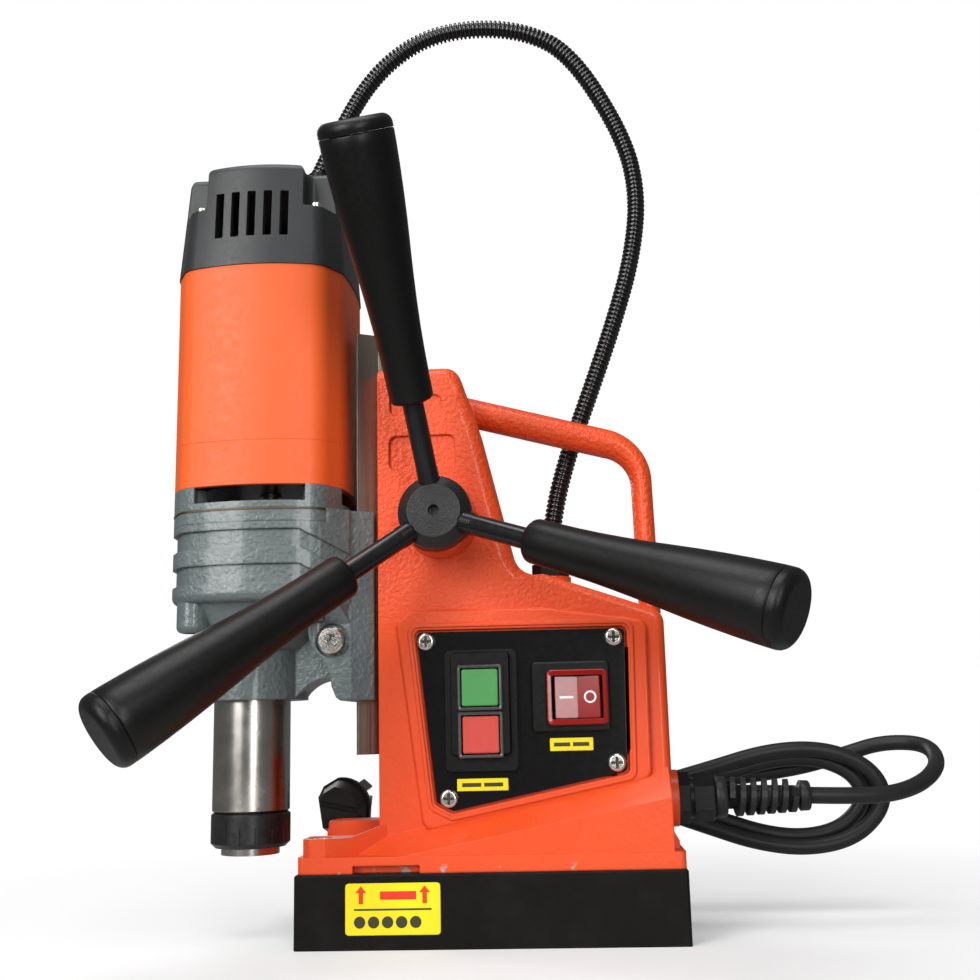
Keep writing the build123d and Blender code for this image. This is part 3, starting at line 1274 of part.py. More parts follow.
with BuildPart() as power_plug:
    with BuildSketch(xz(PLUG_FACE)):
        with BuildLine():
            Polyline((-97.5, 46), (-100, 62), (-97, 68), (-89, 72.5))
            ThreePointArc((-89, 72.5), (-77, 68.5), (-71.5, 57))
            Polyline((-71.5, 57), (-72, 48), (-80, 42), (-92, 42), (-97.5, 46))
        make_face()
    extrude(amount=5)
    with BuildSketch(xz(PLUG_FACE - 5)):
        with BuildLine():
            Polyline((-97, 46), (-99.2, 62), (-96.5, 67), (-89, 71.5))
            ThreePointArc((-89, 71.5), (-78, 67.5), (-72.6, 57))
            Polyline((-72.6, 57), (-73, 48.5), (-80, 43), (-91.5, 43), (-97, 46))
        make_face()
    with BuildSketch(xz(PLUG_BACK)):
        with BuildLine():
            Polyline((-95, 47), (-97, 61), (-95, 64.5), (-89, 68))
            ThreePointArc((-89, 68), (-80.5, 64.5), (-76.5, 56))
            Polyline((-76.5, 56), (-77, 49.5), (-82, 46), (-90, 46), (-95, 47))
        make_face()
    loft()
    # Grip groove across the back.
    with BuildSketch(xz(PLUG_BACK - 1)):
        with Locations(Location((-86, 57.5, 0), (0, 0, -12))):
            Rectangle(40, 3)
    extrude(amount=-3.5, mode=Mode.SUBTRACT)
save(power_plug.part, "power_plug")

PIN_WAY = Vector(0.36, 0.89, 0.28)  # direction that the pins point
pins = []
PIN_LENGTH = 14.0
# Each pin: X and Z of its root, and the way its broad side runs.
PIN_ROOTS = [
    (-80.5, 64.5, Vector(0.8, 0, -0.6)), (-78.8, 55, Vector(0.2, -0.3, 1)), (-88, 56, Vector(0, 0, 1)),
]
for x, z, broad in PIN_ROOTS:
    with BuildPart() as pin:
        with BuildSketch(Plane(origin=(x, PLUG_FACE - 0.8, z), x_dir=broad, z_dir=PIN_WAY)):
            Rectangle(6.3, 1.6)
        extrude(amount=PIN_LENGTH)
    pins.append(pin.part)
save(gathered(pins), "plug_pins")

TIE_LOW, TIE_HIGH, ARM_TOP = 47.8, 71.2, 85.0  # the strap's inside and the arm that ties it to the casting
with BuildPart() as cord_tie:
    strap_height = TIE_HIGH - TIE_LOW
    with Locations((TIE_X, (HANK_NEAR + HANK_FAR) / 2, (TIE_LOW + TIE_HIGH) / 2)):
        Box(6, HANK_FAR - HANK_NEAR + 3.6, strap_height + 3.4)
        Box(8, HANK_FAR - HANK_NEAR + 0.4, strap_height, mode=Mode.SUBTRACT)
    with Locations((TIE_X, HANK_NEAR - 0.2, (TIE_HIGH + ARM_TOP) / 2 + 0.5)):
        Box(6, 3.2, ARM_TOP - TIE_HIGH - 1)
    with Locations((TIE_X, (COLUMN_HALF + HANK_NEAR) / 2, ARM_TOP - 1.5)):
        Box(6, HANK_NEAR - COLUMN_HALF, 3)
save(cord_tie.part, "cord_tie")
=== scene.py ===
"""Looks of the magnetic drill press: materials, cords, fine pieces, light and camera."""
import bpy
import json
from math import cos, pi, radians, sin
from mathutils import Matrix, Vector


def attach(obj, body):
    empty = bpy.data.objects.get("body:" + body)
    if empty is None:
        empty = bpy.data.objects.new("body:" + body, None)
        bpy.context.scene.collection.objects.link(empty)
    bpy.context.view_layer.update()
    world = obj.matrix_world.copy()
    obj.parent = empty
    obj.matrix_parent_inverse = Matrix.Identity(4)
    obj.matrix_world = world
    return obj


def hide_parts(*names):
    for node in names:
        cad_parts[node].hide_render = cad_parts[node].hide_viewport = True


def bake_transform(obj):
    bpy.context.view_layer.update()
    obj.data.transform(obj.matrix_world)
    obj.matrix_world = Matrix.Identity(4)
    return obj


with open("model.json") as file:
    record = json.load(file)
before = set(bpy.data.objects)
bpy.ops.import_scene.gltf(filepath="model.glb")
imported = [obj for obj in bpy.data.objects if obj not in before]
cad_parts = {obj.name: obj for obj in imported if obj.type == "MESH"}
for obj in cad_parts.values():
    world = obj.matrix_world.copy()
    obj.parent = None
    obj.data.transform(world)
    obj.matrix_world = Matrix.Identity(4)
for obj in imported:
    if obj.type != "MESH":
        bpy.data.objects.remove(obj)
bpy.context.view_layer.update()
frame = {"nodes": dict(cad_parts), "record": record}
NODES = frame["nodes"]
MM = 0.001

# Shader helper --------------------------------------------------------------------------------------------


class Shader:
    """A material's node tree, built from short calls."""

    def __init__(self, name, color=(0.5, 0.5, 0.5), rough=0.5, metal=0.0, coat=0.0, coat_rough=0.1, spec=0.5):
        self.mat = bpy.data.materials.new(name)
        self.mat.use_nodes = True
        self.tree = self.mat.node_tree
        self.bsdf = self.tree.nodes["Principled BSDF"]
        self.set("Base Color", (*color, 1.0))
        self.set("Roughness", rough)
        self.set("Metallic", metal)
        self.set("Coat Weight", coat)
        self.set("Coat Roughness", coat_rough)
        self.set("Specular IOR Level", spec)

    def set(self, name, value):
        self.bsdf.inputs[name].default_value = value

    def node(self, kind, inputs=None, **settings):
        made = self.tree.nodes.new(kind)
        for key, value in settings.items():
            setattr(made, key, value)
        for key, value in (inputs or {}).items():
            if hasattr(value, "is_linked"):
                self.tree.links.new(value, made.inputs[key])
            else:
                made.inputs[key].default_value = value
        return made

    def feed(self, name, socket):
        self.tree.links.new(socket, self.bsdf.inputs[name])

    def place(self, scale=(1, 1, 1)):
        """Rest position in the row frame, stretched by a scale for each axis."""
        coords = self.node("ShaderNodeTexCoord")
        return self.node("ShaderNodeMapping", {"Vector": coords.outputs["Object"], "Scale": scale}).outputs[0]

    def noise(self, scale, detail=3.0, stretch=(1, 1, 1), rough=0.5):
        return self.node(
            "ShaderNodeTexNoise",
            {"Vector": self.place(stretch), "Scale": scale, "Detail": detail, "Roughness": rough},
        ).outputs["Fac"]

    def span(self, fac, low, high, start=0.0, end=1.0):
        """Maps low..high of a value to start..end, clamped."""
        return self.node(
            "ShaderNodeMapRange",
            {"Value": fac, "From Min": low, "From Max": high, "To Min": start, "To Max": end},
        ).outputs[0]

    def mix(self, fac, a, b):
        made = self.node("ShaderNodeMix", data_type="RGBA")
        for index, value in ((0, fac), (6, a), (7, b)):
            if hasattr(value, "is_linked"):
                self.tree.links.new(value, made.inputs[index])
            else:
                made.inputs[index].default_value = value if index == 0 else (*value, 1.0)
        return made.outputs[2]

    def math(self, operation, a, b=0.5):
        made = self.node("ShaderNodeMath", operation=operation)
        for index, value in ((0, a), (1, b)):
            if hasattr(value, "is_linked"):
                self.tree.links.new(value, made.inputs[index])
            else:
                made.inputs[index].default_value = value
        return made.outputs[0]

    def bump(self, height, strength, distance, normal=None):
        made = self.node("ShaderNodeBump", {"Height": height, "Strength": strength, "Distance": distance})
        if normal is not None:
            self.tree.links.new(normal, made.inputs["Normal"])
        return made.outputs[0]

    def soft_edges(self, radius):
        return self.node("ShaderNodeBevel", {"Radius": radius}, samples=4).outputs[0]


# Materials ------------------------------------------------------------------------------------------------


def orange_paint(name):
    """Sprayed paint over a casting: leathery on the column, smoother below, chipped along the base flange."""
    s = Shader(name, rough=0.38, spec=0.35, coat=0.2, coat_rough=0.14)
    tone = s.mix(s.span(s.noise(14, 4), 0.3, 0.7), (0.72, 0.062, 0.008), (0.80, 0.080, 0.012))
    height = s.node("ShaderNodeSeparateXYZ", {"Vector": s.place()}).outputs["Z"]
    low_edge = s.span(height, 0.0335, 0.0372, 1.0, 0.0)
    chip = s.math("MULTIPLY", s.span(s.noise(120, 5), 0.635, 0.65), low_edge)
    s.feed("Base Color", s.mix(chip, tone, (0.36, 0.35, 0.33)))
    s.feed("Roughness", s.span(s.noise(160, 3), 0.3, 0.7, 0.34, 0.47))
    leather = s.span(height, 0.14, 0.17, 0.12, 1.0)
    grain = s.math("MULTIPLY", s.noise(480, 3), leather)
    fine = s.bump(s.noise(1100, 2), 0.25, 0.0002, s.soft_edges(0.0011))
    s.feed("Normal", s.bump(grain, 1.0, 0.0011, fine))
    return s.mat


def orange_plastic(name):
    """Matte orange moulding of the motor casing."""
    s = Shader(name, rough=0.5, spec=0.35)
    s.feed("Base Color", s.mix(s.noise(30, 3), (0.76, 0.102, 0.016), (0.83, 0.124, 0.022)))
    s.feed("Roughness", s.span(s.noise(300, 3), 0.3, 0.7, 0.42, 0.55))
    s.feed("Normal", s.bump(s.noise(1500, 2), 0.14, 0.00015, s.soft_edges(0.0007)))
    return s.mat


def cast_grey(name):
    """Glossy blue-grey enamel that flows over a rough casting."""
    s = Shader(name, rough=0.36, spec=0.45, coat=0.35, coat_rough=0.12)
    mottle = s.span(s.noise(35, 4), 0.3, 0.7)
    s.feed("Base Color", s.mix(mottle, (0.098, 0.122, 0.121), (0.122, 0.148, 0.146)))
    s.feed("Roughness", s.span(s.noise(200, 3), 0.3, 0.7, 0.3, 0.44))
    dents = s.span(s.noise(420, 2), 0.42, 0.75)
    waves = s.bump(s.noise(150, 2), 0.35, 0.0008, s.soft_edges(0.0014))
    s.feed("Normal", s.bump(dents, 0.5, 0.0006, waves))
    return s.mat


def satin_black(name):
    """Black satin paint on the ground magnet block, with slanting grinding marks and dust."""
    s = Shader(name, rough=0.34, spec=0.12)
    dust = s.span(s.noise(55, 5), 0.45, 0.8)
    s.feed("Base Color", s.mix(dust, (0.0042, 0.0036, 0.0032), (0.009, 0.0078, 0.0068)))
    s.feed("Roughness", s.span(s.noise(300, 4), 0.3, 0.7, 0.36, 0.5))
    marks = s.noise(260, 3, (1, 1, 0.2))
    s.feed("Normal", s.bump(marks, 0.12, 0.0002, s.soft_edges(0.0006)))
    return s.mat


def turned_steel(name, tone=(0.50, 0.475, 0.44), rough=0.24):
    """Bright turned steel: fine rings along Z."""
    s = Shader(name, color=tone, rough=rough, metal=1.0)
    rings = s.noise(60, 3, (0.02, 0.02, 40))
    stains = s.noise(70, 4)
    s.feed("Roughness", s.span(stains, 0.35, 0.75, rough * 0.85, rough * 1.35))
    s.feed("Base Color", s.mix(s.span(stains, 0.4, 0.8), tuple(c * 0.9 for c in tone), tone))
    s.feed("Normal", s.bump(rings, 0.02, 0.00005, s.soft_edges(0.0004)))
    return s.mat


def ground_steel(name):
    """Surface-ground steel: long fine scratches along the slide and light smears."""
    s = Shader(name, rough=0.3, metal=1.0)
    lines = s.noise(90, 4, (12, 12, 0.15))
    s.feed("Base Color", s.mix(s.noise(24, 4), (0.20, 0.17, 0.135), (0.30, 0.265, 0.22)))
    s.feed("Roughness", s.span(lines, 0.3, 0.7, 0.28, 0.46))
    s.feed("Normal", s.bump(lines, 0.12, 0.0001, s.soft_edges(0.0004)))
    return s.mat


def dark_oxide(name, rough=0.32):
    """Black oxide steel."""
    s = Shader(name, rough=rough, spec=0.4)
    s.feed("Base Color", s.mix(s.noise(120, 4), (0.005, 0.005, 0.0055), (0.014, 0.014, 0.015)))
    s.feed("Roughness", s.span(s.noise(500, 3), 0.3, 0.7, rough * 0.8, rough * 1.4))
    s.feed("Normal", s.soft_edges(0.0004))
    return s.mat


def zinc(name):
    """Zinc-plated screws."""
    s = Shader(name, rough=0.24, metal=1.0)
    s.feed("Base Color", s.mix(s.noise(500, 3), (0.58, 0.56, 0.52), (0.68, 0.66, 0.62)))
    s.feed("Roughness", s.span(s.noise(900, 3), 0.3, 0.7, 0.2, 0.3))
    s.feed("Normal", s.soft_edges(0.00025))
    return s.mat


def faced_black(name, centre):
    """Black oxide face with rough turning rings about an axis along Y."""
    s = Shader(name, rough=0.33, spec=0.35)
    s.feed("Base Color", s.mix(s.noise(300, 4), (0.006, 0.006, 0.0065), (0.018, 0.018, 0.019)))
    from_axis = {0: s.place((1, 0, 1)), 1: centre}
    shifted = s.node("ShaderNodeVectorMath", from_axis, operation="SUBTRACT").outputs[0]
    radius = s.node("ShaderNodeVectorMath", {0: shifted}, operation="LENGTH").outputs["Value"]
    rings = s.math("SINE", s.math("MULTIPLY", radius, 7000.0))
    rough_cut = s.math("ADD", s.math("MULTIPLY", rings, 0.06), s.noise(1100, 3))
    s.feed("Normal", s.bump(rough_cut, 0.5, 0.0004, s.soft_edges(0.0005)))
    return s.mat


def plastic(name, color, rough=0.45, grain=900.0, depth=0.12, edge=0.0006, coat=0.0, spec=0.5):
    """Moulded plastic with a fine grain."""
    s = Shader(name, rough=rough, coat=coat, spec=spec)
    low, high = tuple(c * 0.85 for c in color), tuple(min(1.0, c * 1.12 + 0.001) for c in color)
    s.feed("Base Color", s.mix(s.noise(40, 3), low, high))
    s.feed("Roughness", s.span(s.noise(grain * 0.4, 3), 0.3, 0.7, rough * 0.88, min(1.0, rough * 1.15)))
    s.feed("Normal", s.bump(s.noise(grain, 2), depth, 0.00015, s.soft_edges(edge)))
    return s.mat


def rubber(name):
    """Soft black cord sheath."""
    s = Shader(name, rough=0.42, spec=0.22)
    s.feed("Base Color", s.mix(s.noise(60, 3), (0.012, 0.012, 0.012), (0.022, 0.022, 0.022)))
    s.feed("Normal", s.bump(s.noise(1600, 2), 0.1, 0.0001))
    return s.mat


def coloured_metal(name, tone, rough):
    """Bronze, brass and copper pieces."""
    s = Shader(name, rough=rough, metal=1.0)
    s.feed("Base Color", s.mix(s.noise(150, 3), tuple(c * 0.75 for c in tone), tone))
    s.feed("Normal", s.soft_edges(0.0003))
    return s.mat


MATERIALS = {
    "orange_paint": orange_paint("orange_paint"),
    "orange_plastic": orange_plastic("orange_plastic"),
    "grey_hammer_paint": cast_grey("cast_grey"),
    "magnet_black": satin_black("magnet_black"),
    "bright_steel": ground_steel("ground_steel"),
    "dark_steel": dark_oxide("dark_oxide"),
    "zinc_screws": zinc("zinc"),
    "bronze": coloured_metal("bronze", (0.55, 0.36, 0.17), 0.35),
    "gasket_brass": coloured_metal("gasket", (0.12, 0.085, 0.045), 0.5),
    "copper_winding": coloured_metal("copper", (0.7, 0.32, 0.16), 0.35),
    "potting_resin": plastic("potting_resin", (0.03, 0.028, 0.026), 0.35),
    "black_plastic": plastic("black_plastic", (0.005, 0.0048, 0.0046), 0.36, spec=0.18),
    "black_gloss": plastic("black_gloss", (0.005, 0.005, 0.005), 0.3, depth=0.03, spec=0.22),
    "green_button": plastic("green_button", (0.06, 0.27, 0.07), 0.4, depth=0.05, spec=0.4),
    "red_button": plastic("red_button", (0.55, 0.055, 0.04), 0.4, depth=0.05, spec=0.4),
    "red_rocker": plastic("red_rocker", (0.25, 0.0035, 0.0012), 0.16, depth=0.02, spec=0.45),
    "lamination": ground_steel("lamination"),
    "black_rubber": rubber("black_rubber"),
}
SLEEVE_STEEL = turned_steel("sleeve_steel")
GRIP_PLASTIC = plastic("grip_plastic", (0.005, 0.0047, 0.0045), 0.38, grain=1300, depth=0.25, spec=0.24)
SPOKE_BLACK = dark_oxide("spoke_black", 0.2)
CONDUIT_PLASTIC = plastic("conduit_plastic", (0.003, 0.003, 0.0035), 0.2, depth=0.02, edge=0.0002, spec=0.8)
PANEL_BLACK = plastic("panel_black", (0.004, 0.0035, 0.0035), 0.16, depth=0.01, spec=0.4)
HUB_FACE = faced_black("hub_face", (-0.0215, 0, 0.1983))
CAP_BLACK = plastic("cap_black", (0.021, 0.022, 0.0235), 0.42, grain=1600, depth=0.25, spec=0.4)
LABEL_YELLOW = plastic("label_yellow", (0.84, 0.68, 0.012), 0.35, depth=0.02, spec=0.3)
LABEL_RED = plastic("label_red", (0.75, 0.03, 0.012), 0.35, depth=0.02)
# dark print on the labels, also used as painted shade in the panel screws' cross recesses
DARK_PRINT_AND_SHADE = plastic("dark_print_and_painted_shade", (0.03, 0.028, 0.01), 0.4, depth=0.02)
MARK_WHITE = plastic("mark_white", (0.85, 0.85, 0.85), 0.4, depth=0.02)
RIM_GREY = plastic("rim_grey", (0.05, 0.052, 0.05), 0.25, depth=0.02)
OWN_FINISH = {
    "feed_hub": HUB_FACE, "motor_cap": CAP_BLACK, "control_panel": PANEL_BLACK,
    "spindle": SLEEVE_STEEL,
    "grip_1": GRIP_PLASTIC, "grip_2": GRIP_PLASTIC, "grip_3": GRIP_PLASTIC, "grip_caps": GRIP_PLASTIC,
    "spoke_1": SPOKE_BLACK, "spoke_2": SPOKE_BLACK, "spoke_3": SPOKE_BLACK,
}


def dress(obj, material):
    """Puts one material on all of an object's slots."""
    obj.data.materials.clear()
    obj.data.materials.append(material)


for row in frame["record"]["subparts"]:
    name = row["node"]
    dress(NODES[name], OWN_FINISH.get(name, MATERIALS[row["material_slot"]]))

# Mesh helpers ---------------------------------------------------------------------------------------------


def mesh_object(name, vertices, faces, material, smooth=True):
    mesh = bpy.data.meshes.new(name)
    mesh.from_pydata(vertices, [], faces)
    mesh.update()
    made = bpy.data.objects.new(name, mesh)
    bpy.context.scene.collection.objects.link(made)
    mesh.materials.append(material)
    if smooth:
        mesh.polygons.foreach_set("use_smooth", [True] * len(mesh.polygons))
    return made


def spline_object(name, points, radius, material):
    """Round cord: one NURBS spline of order 3 through its two ends."""
    curve = bpy.data.curves.new(name, "CURVE")
    curve.dimensions = "3D"
    curve.resolution_u = 12
    curve.bevel_depth = radius
    curve.bevel_resolution = 8
    spline = curve.splines.new("NURBS")
    spline.points.add(len(points) - 1)
    for point, place in zip(spline.points, points):
        point.co = (*[c * MM for c in place], 1.0)
    spline.order_u = 3
    spline.use_endpoint_u = True
    made = bpy.data.objects.new(name, curve)
    bpy.context.scene.collection.objects.link(made)
    if material:
        curve.materials.append(material)
    return made


def spline_path(points):
    """Points along a route's NURBS spline, in metres."""
    line = spline_object("route", points, 0.0, None)
    bpy.context.view_layer.update()
    mesh = bpy.data.meshes.new_from_object(line)
    path = [v.co.copy() for v in mesh.vertices]
    bpy.data.objects.remove(line)
    bpy.data.meshes.remove(mesh)
    return path


def path_length(path):
    return sum((b - a).length for a, b in zip(path, path[1:]))


def at_length(path, distance):
    """Point and direction at a distance along a path."""
    for a, b in zip(path, path[1:]):
        step = (b - a).length
        if distance <= step or b is path[-1]:
            return a.lerp(b, distance / step), (b - a).normalized()
        distance -= step


def swept(name, path, stations, sides, material):
    """Tube along a path: stations are (distance, radius), the rings carried without twist."""
    vertices, faces = [], []
    up = Vector((0, 1, 0))
    for distance, radius in stations:
        centre, ahead = at_length(path, distance)
        up = (up - ahead * up.dot(ahead)).normalized()
        across = ahead.cross(up)
        for side in range(sides):
            angle = 2 * pi * side / sides
            vertices.append(centre + (up * cos(angle) + across * sin(angle)) * radius)
    for ring in range(len(stations) - 1):
        for side in range(sides):
            a, b = ring * sides + side, ring * sides + (side + 1) % sides
            faces.append((a, b, b + sides, a + sides))
    faces.append(tuple(reversed(range(sides))))
    faces.append(tuple(range((len(stations) - 1) * sides, len(stations) * sides)))
    return mesh_object(name, vertices, faces, material)


# Conduit --------------------------------------------------------------------------------------------------
CONDUIT_LOWER = [
    (31.5, 13, 187), (34, 14, 208), (43, 17, 240), (56, 19, 274), (70, 20, 312), (82, 20, 350),
    (87, 20, 388), (80, 20, 424), (66, 19.5, 450),
]
CONDUIT_UPPER = [
    (66, 19.5, 450), (52.42, 19.015, 475.22), (26, 18, 490.5), (-6, 17, 493.5), (-34, 16, 487),
    (-58, 15, 468),
    (-76, 14.5, 440), (-91.5, 14, 405),
]
CONDUIT_RADIUS, CONDUIT_PITCH, CONDUIT_DEPTH = 4.85 * MM, 2.5 * MM, 1.25 * MM


def corrugated(name, points):
    """Corrugated conduit: rounded ribs at an even pitch."""
    path = spline_path(points)
    total = path_length(path)
    count = round(total / CONDUIT_PITCH)
    pitch = total / count
    stations = []
    for rib in range(count):
        start = rib * pitch
        for share, radius in ((0.0, CONDUIT_RADIUS - CONDUIT_DEPTH), (0.28, CONDUIT_RADIUS - CONDUIT_DEPTH),
                              (0.36, CONDUIT_RADIUS - 0.25 * MM), (0.48, CONDUIT_RADIUS),
                              (0.80, CONDUIT_RADIUS), (0.92, CONDUIT_RADIUS - 0.25 * MM)):
            stations.append((start + share * pitch, radius))
    stations.append((total, CONDUIT_RADIUS - CONDUIT_DEPTH))
    return swept(name, path, stations, 20, CONDUIT_PLASTIC), path, total


lower, lower_path, lower_length = corrugated("conduit_lower_ribbed", CONDUIT_LOWER)
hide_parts("conduit_lower")
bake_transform(lower)
upper, upper_path, upper_length = corrugated("conduit_upper_ribbed", CONDUIT_UPPER)
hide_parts("conduit_upper")
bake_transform(upper)

# Power cord -----------------------------------------------------------------------------------------------
CORD_RADIUS = 4.0 * MM
LEAD = [
    (153.5, 0, 61.7), (172, 0.5, 61), (194, 4, 61), (213, 14, 66), (226, 31, 75), (226, 52, 84),
    (206, 63, 85), (186, 66, 79), (166, 68.5, 73), (140, 70, 69), (110, 70, 66),
]
HANK_TURNS, TURN_GAP = 3, 7.0
HANK_REAR = 70.2
WAIST_X, WAIST_HIGH, WAIST_LOW = 81.0, 65.5, 53.5
RIGHT_LOBE = [
    (108, 44), (134, 35), (160, 31.5), (184, 36), (199, 49), (202, 62), (192, 75), (170, 83), (142, 82),
    (110, 73),
]
LEFT_LOBE = [(52, 74), (26, 83), (-2, 80), (-22, 69), (-29, 57), (-23, 44), (-5, 35), (22, 33), (52, 44)]
RIGHT_SCALES, LEFT_SCALES = (0.93, 0.80, 1.0, 1.0), (0.9, 1.0, 0.84, 0.95)
RIGHT_CENTRE, LEFT_CENTRE = (156, 57.5), (14, 58)
TAIL = [(-33, 48, 60), (-42, 51, 51), (-55, 53.5, 46.5), (-68, 54, 46.5), (-79, 54, 49)]


def around(corners, centre, scale):
    """Corners of one lobe, drawn in towards its centre."""
    return [(centre[0] + (x - centre[0]) * scale, centre[1] + (z - centre[1]) * scale) for x, z in corners]


def hank_points():
    """Turns pinched by the tie: left along the top, back along the bottom, each nearer to the stand."""
    outline = []
    for turn in range(HANK_TURNS):
        outline.append((WAIST_X, WAIST_HIGH - 2.5 * (turn % 2)))
        outline += around(LEFT_LOBE, LEFT_CENTRE, LEFT_SCALES[turn])
        outline.append((WAIST_X, WAIST_LOW + 2.5 * (turn % 2)))
        outline += around(RIGHT_LOBE, RIGHT_CENTRE, RIGHT_SCALES[turn])
    per_turn = len(outline) / HANK_TURNS
    outline.append((WAIST_X, WAIST_HIGH))
    outline += around(LEFT_LOBE, LEFT_CENTRE, LEFT_SCALES[HANK_TURNS])[:4]
    return [(x, HANK_REAR - TURN_GAP * step / per_turn, z) for step, (x, z) in enumerate(outline)]


cord = spline_object("power_cord_line", LEAD + hank_points() + TAIL, CORD_RADIUS, MATERIALS["black_rubber"])
cord_path = spline_path(LEAD + hank_points() + TAIL)
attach(cord, "stand")
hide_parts("power_cord", "power_cord_hank", "power_cord_tail")

# Fine pieces ----------------------------------------------------------------------------------------------


def lathe(name, origin, axis, profile, sides, material):
    """Round piece from (distance, radius) pairs along an axis."""
    ahead = Vector(axis).normalized()
    across = ahead.orthogonal().normalized()
    side_way = ahead.cross(across)
    vertices, faces = [], []
    for distance, radius in profile:
        for side in range(sides):
            angle = 2 * pi * side / sides
            spoke = across * cos(angle) + side_way * sin(angle)
            vertices.append((Vector(origin) + ahead * distance + spoke * radius) * MM)
    for ring in range(len(profile) - 1):
        for side in range(sides):
            a, b = ring * sides + side, ring * sides + (side + 1) % sides
            faces.append((a, b, b + sides, a + sides))
    faces.append(tuple(reversed(range(sides))))
    faces.append(tuple(range((len(profile) - 1) * sides, len(profile) * sides)))
    return mesh_object(name, vertices, faces, material)


PINION = (-21.5, 198.3)
SPOKE_ANGLES, SPOKE_TILT, SPOKE_ROOT_Y = (98.56, -21.44, -141.44), radians(29), -45.2
GRIP_PROFILE = [
    (0, 5.2), (0, 8.2), (0.4, 9.2), (1.2, 9.9), (2.4, 10.3), (10, 10.35), (22, 10.5), (34, 10.9), (46, 11.6),
    (58, 12.5), (70, 13.6), (82, 14.7), (94, 15.6), (106, 16.3), (116, 16.7), (120.6, 16.8), (121.2, 16.5),
    (121.45, 16.0), (121.45, 5.2),
]


def spoke_way(angle):
    a = radians(angle)
    return Vector((cos(a) * cos(SPOKE_TILT), -sin(SPOKE_TILT), sin(a) * cos(SPOKE_TILT)))


def hand_wheel():
    """Flared grips, and the last threads of the spokes where they enter the hub."""
    root = Vector((PINION[0], SPOKE_ROOT_Y, PINION[1]))
    for number, angle in enumerate(SPOKE_ANGLES, 1):
        way = spoke_way(angle)
        grip = lathe(f"grip_{number}_flared", root + way * 56.8, way, GRIP_PROFILE, 64, GRIP_PLASTIC)
        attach(grip, "feed_wheel")
        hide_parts(f"grip_{number}")
        threads = [(0, 4.6)]
        for turn in range(5):
            threads += [(turn * 1.25 + 0.2, 4.75), (turn * 1.25 + 0.6, 5.35), (turn * 1.25 + 1.0, 4.75)]
        threads.append((6.5, 4.6))
        thread = lathe(f"spoke_thread_{number}", root + way * 17.6, way, threads, 32, SPOKE_BLACK)
        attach(thread, "feed_wheel")


def plate(name, corners, y, material):
    """Thin flat sheet facing -Y from its (x, z) outline in mm."""
    front = [(x * MM, y * MM, z * MM) for x, z in corners]
    back = [(x * MM, (y + 0.15) * MM, z * MM) for x, z in corners]
    count = len(corners)
    faces = [tuple(range(count)), tuple(reversed(range(count, 2 * count)))]
    faces += [(i, i + count, (i + 1) % count + count, (i + 1) % count) for i in range(count)]
    return mesh_object(name, front + back, faces, material, smooth=False)


def rounded(x0, z0, x1, z1, radius):
    """Outline of a rounded rectangle, counterclockwise seen from -Y."""
    corners = []
    for cx, cz, start in ((x1 - radius, z1 - radius, 0), (x0 + radius, z1 - radius, 90),
                          (x0 + radius, z0 + radius, 180), (x1 - radius, z0 + radius, 270)):
        for step in range(5):
            a = radians(start + step * 22.5)
            corners.append((cx + radius * cos(a), cz + radius * sin(a)))
    return corners


def disc(cx, cz, radius, sides=28):
    angles = [2 * pi * i / sides for i in range(sides)]
    return [(cx + radius * cos(a), cz + radius * sin(a)) for a in angles]


def joined(name, pieces):
    """One object from several meshes of one material."""
    with bpy.context.temp_override(active_object=pieces[0], selected_editable_objects=pieces):
        bpy.ops.object.join()
    pieces[0].name = name
    return pieces[0]


def labels():
    """Yellow stickers with generic marks only: arrows, bars and round spots."""
    face = -43.0
    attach(plate("magnet_label", rounded(-66.0, 6.6, -22.4, 29.2, 1.6), face - 0.15, LABEL_YELLOW), "stand")
    arrows = []
    for x in (-58.8, -29.6):
        arrow = [
            (x - 1, 20.2), (x + 1, 20.2), (x + 1, 25), (x + 2.5, 25), (x, 28), (x - 2.5, 25), (x - 1, 25),
        ]
        arrows.append(plate("arrow", arrow, face - 0.25, LABEL_RED))
    headline = [(-50, 22), (-33.5, 22), (-33.5, 25.6), (-50, 25.6)]
    arrows.append(plate("headline", headline, face - 0.25, LABEL_RED))
    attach(joined("magnet_label_red", arrows), "stand")
    spots = [plate("spot", disc(-59.4 + 6.4 * i, 12.2, 2.6), face - 0.25, DARK_PRINT_AND_SHADE) for i in range(5)]
    line = [(-62, 17.3), (-26.5, 17.3), (-26.5, 18.1), (-62, 18.1)]
    spots.append(plate("spot", line, face - 0.25, DARK_PRINT_AND_SHADE))
    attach(joined("magnet_label_dark", spots), "stand")
    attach(plate("push_switch_label", rounded(-15.4, 68.3, 8.9, 74.0, 0.4), -27.4, LABEL_YELLOW), "stand")
    bars = [plate("bar", [(x0, z - 0.9), (x1, z - 0.9), (x1, z + 0.9), (x0, z + 0.9)], -27.5, DARK_PRINT_AND_SHADE)
            for x0, x1, z in ((-13, -4, 71.1), (-2.6, 6.4, 71.1), (31, 38.6, 88.9), (40, 47.6, 88.9))]
    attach(joined("label_bars", bars), "stand")
    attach(plate("rocker_label", rounded(29.1, 85.9, 49.6, 91.9, 0.4), -27.4, LABEL_YELLOW), "stand")


PANEL_SCREWS = [(-29.3, 139.0), (61.1, 138.8), (60.4, 80.0), (-19.3, 65.0)]


def crosses():
    """Painted shade: dark plates over the bottoms of the cross recesses in the panel's screws."""
    long, thin = 2.6, 0.55
    arms = [(-thin, long), (-thin, thin), (-long, thin), (-long, -thin), (-thin, -thin), (-thin, -long),
            (thin, -long), (thin, -thin), (long, -thin), (long, thin), (thin, thin), (thin, long)]
    # dark plates just in front of the recess floors: painted shade, not a colour of the screws
    made = [plate("cross", [(x + dx, z + dz) for dx, dz in arms], -29.2, DARK_PRINT_AND_SHADE) for x, z in PANEL_SCREWS]
    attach(joined("panel_screw_shade_crosses", made), "stand")


